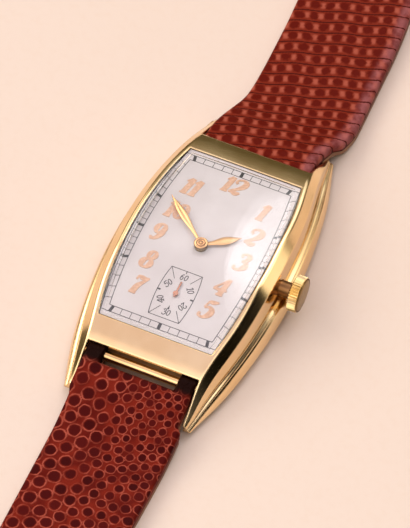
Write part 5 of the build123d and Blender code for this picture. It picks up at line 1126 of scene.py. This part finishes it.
def edge_distance(keep, top):
    """Distance of each vertex from the nearest cut edge, and which vertices the kept cells use."""
    rows, columns = keep.shape
    padded = np.zeros((rows + 2, columns + 2), dtype=bool)
    padded[1:-1, 1:-1] = keep
    whole = padded[:-1, :-1] & padded[1:, :-1] & padded[:-1, 1:] & padded[1:, 1:]
    some = padded[:-1, :-1] | padded[1:, :-1] | padded[:-1, 1:] | padded[1:, 1:]
    edge = some & ~whole
    tree = kdtree.KDTree(int(edge.sum()))
    for place, (i, j) in enumerate(zip(*np.nonzero(edge))):
        tree.insert(top[i, j], place)
    tree.balance()
    far = np.zeros(edge.shape)
    for i, j in zip(*np.nonzero(some)):
        far[i, j] = tree.find(top[i, j])[2]
    return far, some


def sheet_grids(rows, columns, own_line):
    """The sheet's flat top and base points and the distance along its top."""
    top = np.zeros((len(rows), len(columns), 3))
    base = np.zeros((len(rows), len(columns), 3))
    along = np.zeros(len(rows))
    for i, row in enumerate(rows):
        if i:
            along[i] = along[i - 1] + math.hypot(row.top_y - rows[i - 1].top_y, row.top_z - rows[i - 1].top_z)
        for j, column in enumerate(columns):
            x = own_line(column_x(column, row.half), row.top_y)
            top[i, j] = (x, row.top_y, row.top_z)
            base[i, j] = (x, row.base_y, row.base_z)
    return top, base, along


def sheet_piece(name, rows, columns, buckled, look, scales=None, soft=EDGE_ROUND, crowned=0.0):
    """A closed leather sheet over rows and columns, with rounded edges and its scales raised."""
    top, base, along = sheet_grids(rows, columns, lean_x if buckled else lower_x)
    holes = [] if buckled else HOLE_PLACES
    keep = cut_cells(rows, columns, holes)
    snap_to_holes(top, base, keep, holes)
    run = np.gradient(top[:, 0, 1:], axis=0)
    run /= np.linalg.norm(run, axis=1)[:, None]
    outward = np.stack([-run[:, 1], run[:, 0]], axis=1)
    thick = np.linalg.norm(top[:, 0] - base[:, 0], axis=1)
    far, some = edge_distance(keep, top)
    distance = np.full(some.shape, 1.0)
    tone, bar_shade, rub_and_sheen = (np.zeros(some.shape) for _ in range(3))
    moved = top.copy()
    for i, j in zip(*np.nonzero(some)):
        across = column_x(columns[j], rows[i].half) / rows[i].half
        lift = -round_drop(min(soft, thick[i] * EDGE_ROUND_SHARE), far[i, j])
        lift -= crowned * abs(across) ** 4 * min(1.0, thick[i])
        # The leather at the bar is marked here for painted shade
        bar_shade[i, j] = fade(top[i, j, 1], BAR_SHADE_END, BAR_SHADE_FADE)
        # The right edge is marked here for painted sheen
        rub_and_sheen[i, j] = ease(across, SHEEN_START_SHARE, SHEEN_REACH_SHARE)
        if scales is not None:
            distance[i, j], tone[i, j], height = scales.at(top[i, j, 0], along[i])
            lift += SCALE_RELIEF * height * min(1.0, far[i, j] / EDGE_FADE)
        moved[i, j, 1:] += outward[i] * lift
    if not buckled:
        for grid in (moved, base):
            grid[:, :, :2] *= -1
    below = np.ones(int(some.sum()))
    attributes = {
        "scale_distance": np.concatenate([distance[some], below]),
        "scale_tone": np.concatenate([tone[some], 0 * below]),
        "edge_dye": np.tile(bar_shade[some], 2),
        "edge_rub": np.tile(rub_and_sheen[some], 2),
    }
    points = np.concatenate([moved[some], base[some]])
    return add_piece(name, points, sheet_faces(keep, some), *look, 50.0, attributes)


def sheet_faces(keep, some):
    """Faces of a sheet's top, its base and the walls round what is kept of it."""
    total = int(some.sum())
    ids = -np.ones(some.shape, dtype=int)
    ids[some] = np.arange(total)
    padded = np.pad(keep, 1)
    faces = []
    for i, j in zip(*np.nonzero(keep)):
        a, b, c, d = ids[i, j], ids[i, j + 1], ids[i + 1, j + 1], ids[i + 1, j]
        faces += [(a, b, c, d), (d + total, c + total, b + total, a + total)]
        beside = (padded[i, j + 1], padded[i + 2, j + 1], padded[i + 1, j], padded[i + 1, j + 2])
        for joined, (first, second) in zip(beside, ((b, a), (d, c), (a, d), (c, b))):
            if not joined:
                faces.append((first, second, second + total, first + total))
    return faces


def keeper_outline(half_x):
    """The band's corners and sides as (x, z, outward x, outward z) about its corner centres."""
    left, right = -half_x + KEEPER_CORNER, half_x - KEEPER_CORNER
    low, high = KEEPER_LOW + KEEPER_CORNER, KEEPER_HIGH - KEEPER_CORNER
    corners = []
    for cx, cz, start in ((right, high, 0), (left, high, 90), (left, low, 180), (right, low, 270)):
        for k in range(9):
            a = math.radians(start + 90 * k / 8)
            corners.append((cx, cz, math.cos(a), math.sin(a)))
    line = []
    for first, second in zip(corners, corners[1:] + corners[:1]):
        pieces = max(1, round(math.hypot(second[0] - first[0], second[1] - first[1]) / 0.2))
        line += [between(first, second, k / pieces) for k in range(pieces)]
    return line


def keeper_piece(name, half_x, y_range, material, body):
    """A leather band bent round the strap, with rounded edges."""
    line = keeper_outline(half_x)
    length = y_range[1] - y_range[0]
    shares = [0.0, 0.015, 0.04, 0.07] + list(np.linspace(0.1, 0.9, 21)) + [0.93, 0.96, 0.985, 1.0]
    field = ScaleField(KEEPER_FIELD, length + 2.0, lambda x, y: KEEPER_PITCH, KEEPER_SEED)
    outer, inner, distance, tone = [], [], [], []
    around, before = 0.0, None
    for cx, cz, nx, nz in line:
        skin = (cx + KEEPER_CORNER * nx, cz + KEEPER_CORNER * nz)
        around += math.hypot(skin[0] - before[0], skin[1] - before[1]) if before else 0.0
        before = skin
        for share in shares:
            y = y_range[0] + length * share
            gap = min(share, 1 - share) * length
            own, shade, height = field.at(around - KEEPER_START, gap if share < 0.5 else length - gap)
            lift = KEEPER_RELIEF * height * min(1.0, gap / EDGE_FADE) - KEEPER_SINK
            reach = KEEPER_CORNER + lift - round_drop(KEEPER_WALL * EDGE_ROUND_SHARE, gap)
            back = KEEPER_CORNER - KEEPER_WALL
            outer.append((cx + reach * nx, y, cz + reach * nz))
            inner.append((cx + back * nx, y, cz + back * nz))
            distance.append(own)
            tone.append(shade)
    total = len(outer)
    faces = band_faces(len(line), len(shares), total)
    attributes = {"scale_distance": distance + [1.0] * total, "scale_tone": tone + [0.0] * total}
    return add_piece(name, outer + inner, faces, material, body, "strap_leather", 50.0, attributes)


def band_faces(count_i, count_j, total):
    """Faces of a closed band: its outside, its inside and its two edges."""
    faces = []
    for i in range(count_i):
        here, after = i * count_j, (i + 1) % count_i * count_j
        for j in range(count_j - 1):
            a, b, c, d = here + j, after + j, after + j + 1, here + j + 1
            faces += [(a, d, c, b), (a + total, b + total, c + total, d + total)]
        faces.append((here, after, after + total, here + total))
        a, b = here + count_j - 1, after + count_j - 1
        faces.append((b, a, a + total, b + total))
    return faces


def outer_leather(buckled, leather, scales, steps):
    strap = "strap_12" if buckled else "strap_6"
    look = (leather, strap, "strap_leather")
    rows, columns = leather_rows(buckled, steps), column_shares(LEATHER_SPACING)
    piece = sheet_piece(strap + "_lizard", rows, columns, buckled, look, scales, crowned=SHEET_CROWN)
    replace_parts(piece, strap)


def lining(buckled, calf, steps):
    strap = "strap_12" if buckled else "strap_6"
    look = (calf, strap, "lining_leather")
    rows, columns = lining_rows(buckled, steps), column_shares(LINING_SPACING)
    piece = sheet_piece(strap + "_calf", rows, columns, buckled, look, soft=LINING_ROUND)
    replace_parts(piece, strap + "_lining")


def straps(lizard, calf):
    """Both halves of the strap and the two keepers. Rows along a sheet are given as (up to, spacing)."""
    lower_steps = [(48.0, 0.17), (65.0, 0.3), (112.0, 0.2), (POINT_START, 0.3)]
    upper_steps = [(52.0, 0.17), (SLOT_START, 0.26), (BUCKLE_Y, 0.2)]
    outer_leather(False, lizard, ScaleField(*LOWER_FIELD, large_scales, LOWER_SEED), lower_steps)
    outer_leather(True, row_lizard_material(), RowField(ROW_SEED), upper_steps)
    lining(False, calf, [(64.0, 0.6), (112.0, 0.2), (POINT_START, 0.6)])
    lining(True, calf, [(SLOT_START, 0.6), (BUCKLE_Y, 0.2)])
    for keeper, half_x, y_range, body in (
        ("fixed_keeper", 7.40, (79.5, 84.5), "strap_12"),
        ("free_keeper", 7.81, (71.0, 76.0), "free_keeper"),
    ):
        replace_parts(keeper_piece(keeper + "_lizard", half_x, y_range, lizard, body), keeper)


# Light and floor


def ceiling(n, height):
    """The ceiling's colour by the direction's height."""
    ramp = n.add("ShaderNodeValToRGB", {"Fac": height})
    elements = ramp.color_ramp.elements
    while len(elements) < len(CEILING_STOPS):
        elements.new(0.5)
    for element, (position, shade) in zip(elements, CEILING_STOPS):
        element.position = position
        element.color = (*shade, 1.0)
    return ramp.outputs[0]


def world_light():
    """Studio surroundings: a ceiling, patches of light and a dark card low on the right."""
    world = bpy.data.worlds.new("studio")
    bpy.context.scene.world = world
    n = Nodes(world)
    place = n.add("ShaderNodeTexCoord").outputs["Generated"]
    x, y, z = n.add("ShaderNodeSeparateXYZ", {"Vector": place}).outputs
    slope = n.maths("DIVIDE", x, n.maths("MAXIMUM", y, 0.05))
    axes = {"x": x, "y": y, "z": z, "slope": slope}
    total = ceiling(n, z)
    for shade, steps in PATCHES.values():
        amount = n.times(*(n.span(axes[axis], *span) for axis, *span in steps))
        glow = n.vectors("SCALE", {0: shade, "Scale": amount})
        total = n.vectors("ADD", {0: total, 1: glow})
    card = n.times(*(n.span(axes[axis], *span) for axis, *span in DARK_CARD))
    kept = n.maths("SUBTRACT", 1.0, n.times(card, DARK_CARD_STRENGTH))
    total = n.vectors("SCALE", {0: total, "Scale": kept})
    back = n.add("ShaderNodeBackground", {"Color": total, "Strength": 1.0})
    n.add("ShaderNodeOutputWorld", {"Surface": back.outputs[0]})


def key_lamp():
    data = bpy.data.lights.new("key", "AREA")
    data.size = KEY_SIZE
    data.energy = KEY_POWER
    data.color = KEY_SHADE
    lamp = bpy.data.objects.new("key", data)
    toward = Vector(KEY_DIRECTION).normalized()
    lamp.location = toward * KEY_DISTANCE
    lamp.rotation_euler = toward.to_track_quat("Z", "Y").to_euler()
    bpy.context.scene.collection.objects.link(lamp)


def floor():
    half = FLOOR_HALF
    mesh = bpy.data.meshes.new("floor")
    corners = [(-half, -half, 0), (half, -half, 0), (half, half, 0), (-half, half, 0)]
    mesh.from_pydata(corners, [], [(0, 1, 2, 3)])
    mesh.materials.append(floor_material())
    plane = bpy.data.objects.new("floor", mesh)
    bpy.context.scene.collection.objects.link(plane)


# The watch


def slot_materials():
    """A material for each of the record's slots."""
    return {
        "gold": metal("gold_polished", (0.94, 0.70, 0.395), (0.88, 0.615, 0.32), 0.12, edge=0.32),
        "bar_gold": metal("bar_gold_polished", (0.90, 0.62, 0.32), (0.72, 0.46, 0.21), 0.2),
        "hand_gold": metal("hand_gold_polished", (0.93, 0.57, 0.27), (0.80, 0.44, 0.18), 0.3, edge=0.05),
        "hand_copper": metal("hand_copper_polished", (0.60, 0.31, 0.21), (0.42, 0.20, 0.13), 0.22, edge=0.04),
        "crystal": crystal_material(),
        "dial": dial_material(),
        "steel": metal("steel_brushed", (0.64, 0.64, 0.65), (0.5, 0.5, 0.51), 0.3, 0.4, 0.05, BRUSHED),
        "blued_steel": metal("steel_blued", (0.05, 0.09, 0.36), (0.03, 0.05, 0.2), 0.22, 0.3, 0.04),
        "nickel": metal("nickel_frosted", (0.70, 0.68, 0.63), (0.58, 0.56, 0.52), 0.38, 0.6, 0.06),
        "ruby": jewel_material(),
        "brass": metal("brass_satin", (0.80, 0.62, 0.28), (0.66, 0.48, 0.2), 0.3, 0.4, 0.05),
        "strap_leather": lizard_material(),
        "lining_leather": lining_material(),
    }


def dress(materials):
    """Gives every carried-over CAD node its material by its record slot. The crown's tube gets darker gold,
    painted shade.
    """
    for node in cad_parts.values():
        slot_name = node.data.materials[0].name.split(".")[0]
        node.data.materials[0] = materials[slot_name]
    # Painted shade: the tube under the crown is a darker copy of the gold
    tube = metal("tube_gold_painted_shade", (0.30, 0.15, 0.06), (0.17, 0.08, 0.03), 0.3, edge=0.05)
    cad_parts["crown_tube"].data.materials[0] = tube


def hands(gold):
    # Painted shade: a dark brown for the cup between and under the hub's rings
    hub_shade = metal("hub_cup_painted_shade", (0.30, 0.17, 0.07), (0.16, 0.085, 0.03), 0.35, edge=0.03)
    hub_rings(gold, hub_shade)
    piece = hand_piece("minute_leaf", MINUTE_HAND, gold, "centre")
    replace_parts(piece, "minute_hand")
    piece = hand_piece("hour_leaf", HOUR_HAND, gold, "hour")
    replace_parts(piece, "hour_hand")


def build():
    bpy.context.scene.view_settings.view_transform = "Standard"
    place_camera()
    world_light()
    key_lamp()
    floor()
    materials = slot_materials()
    dress(materials)
    face()
    hands(materials["hand_gold"])
    crown()
    straps(materials["strap_leather"], materials["lining_leather"])


build()
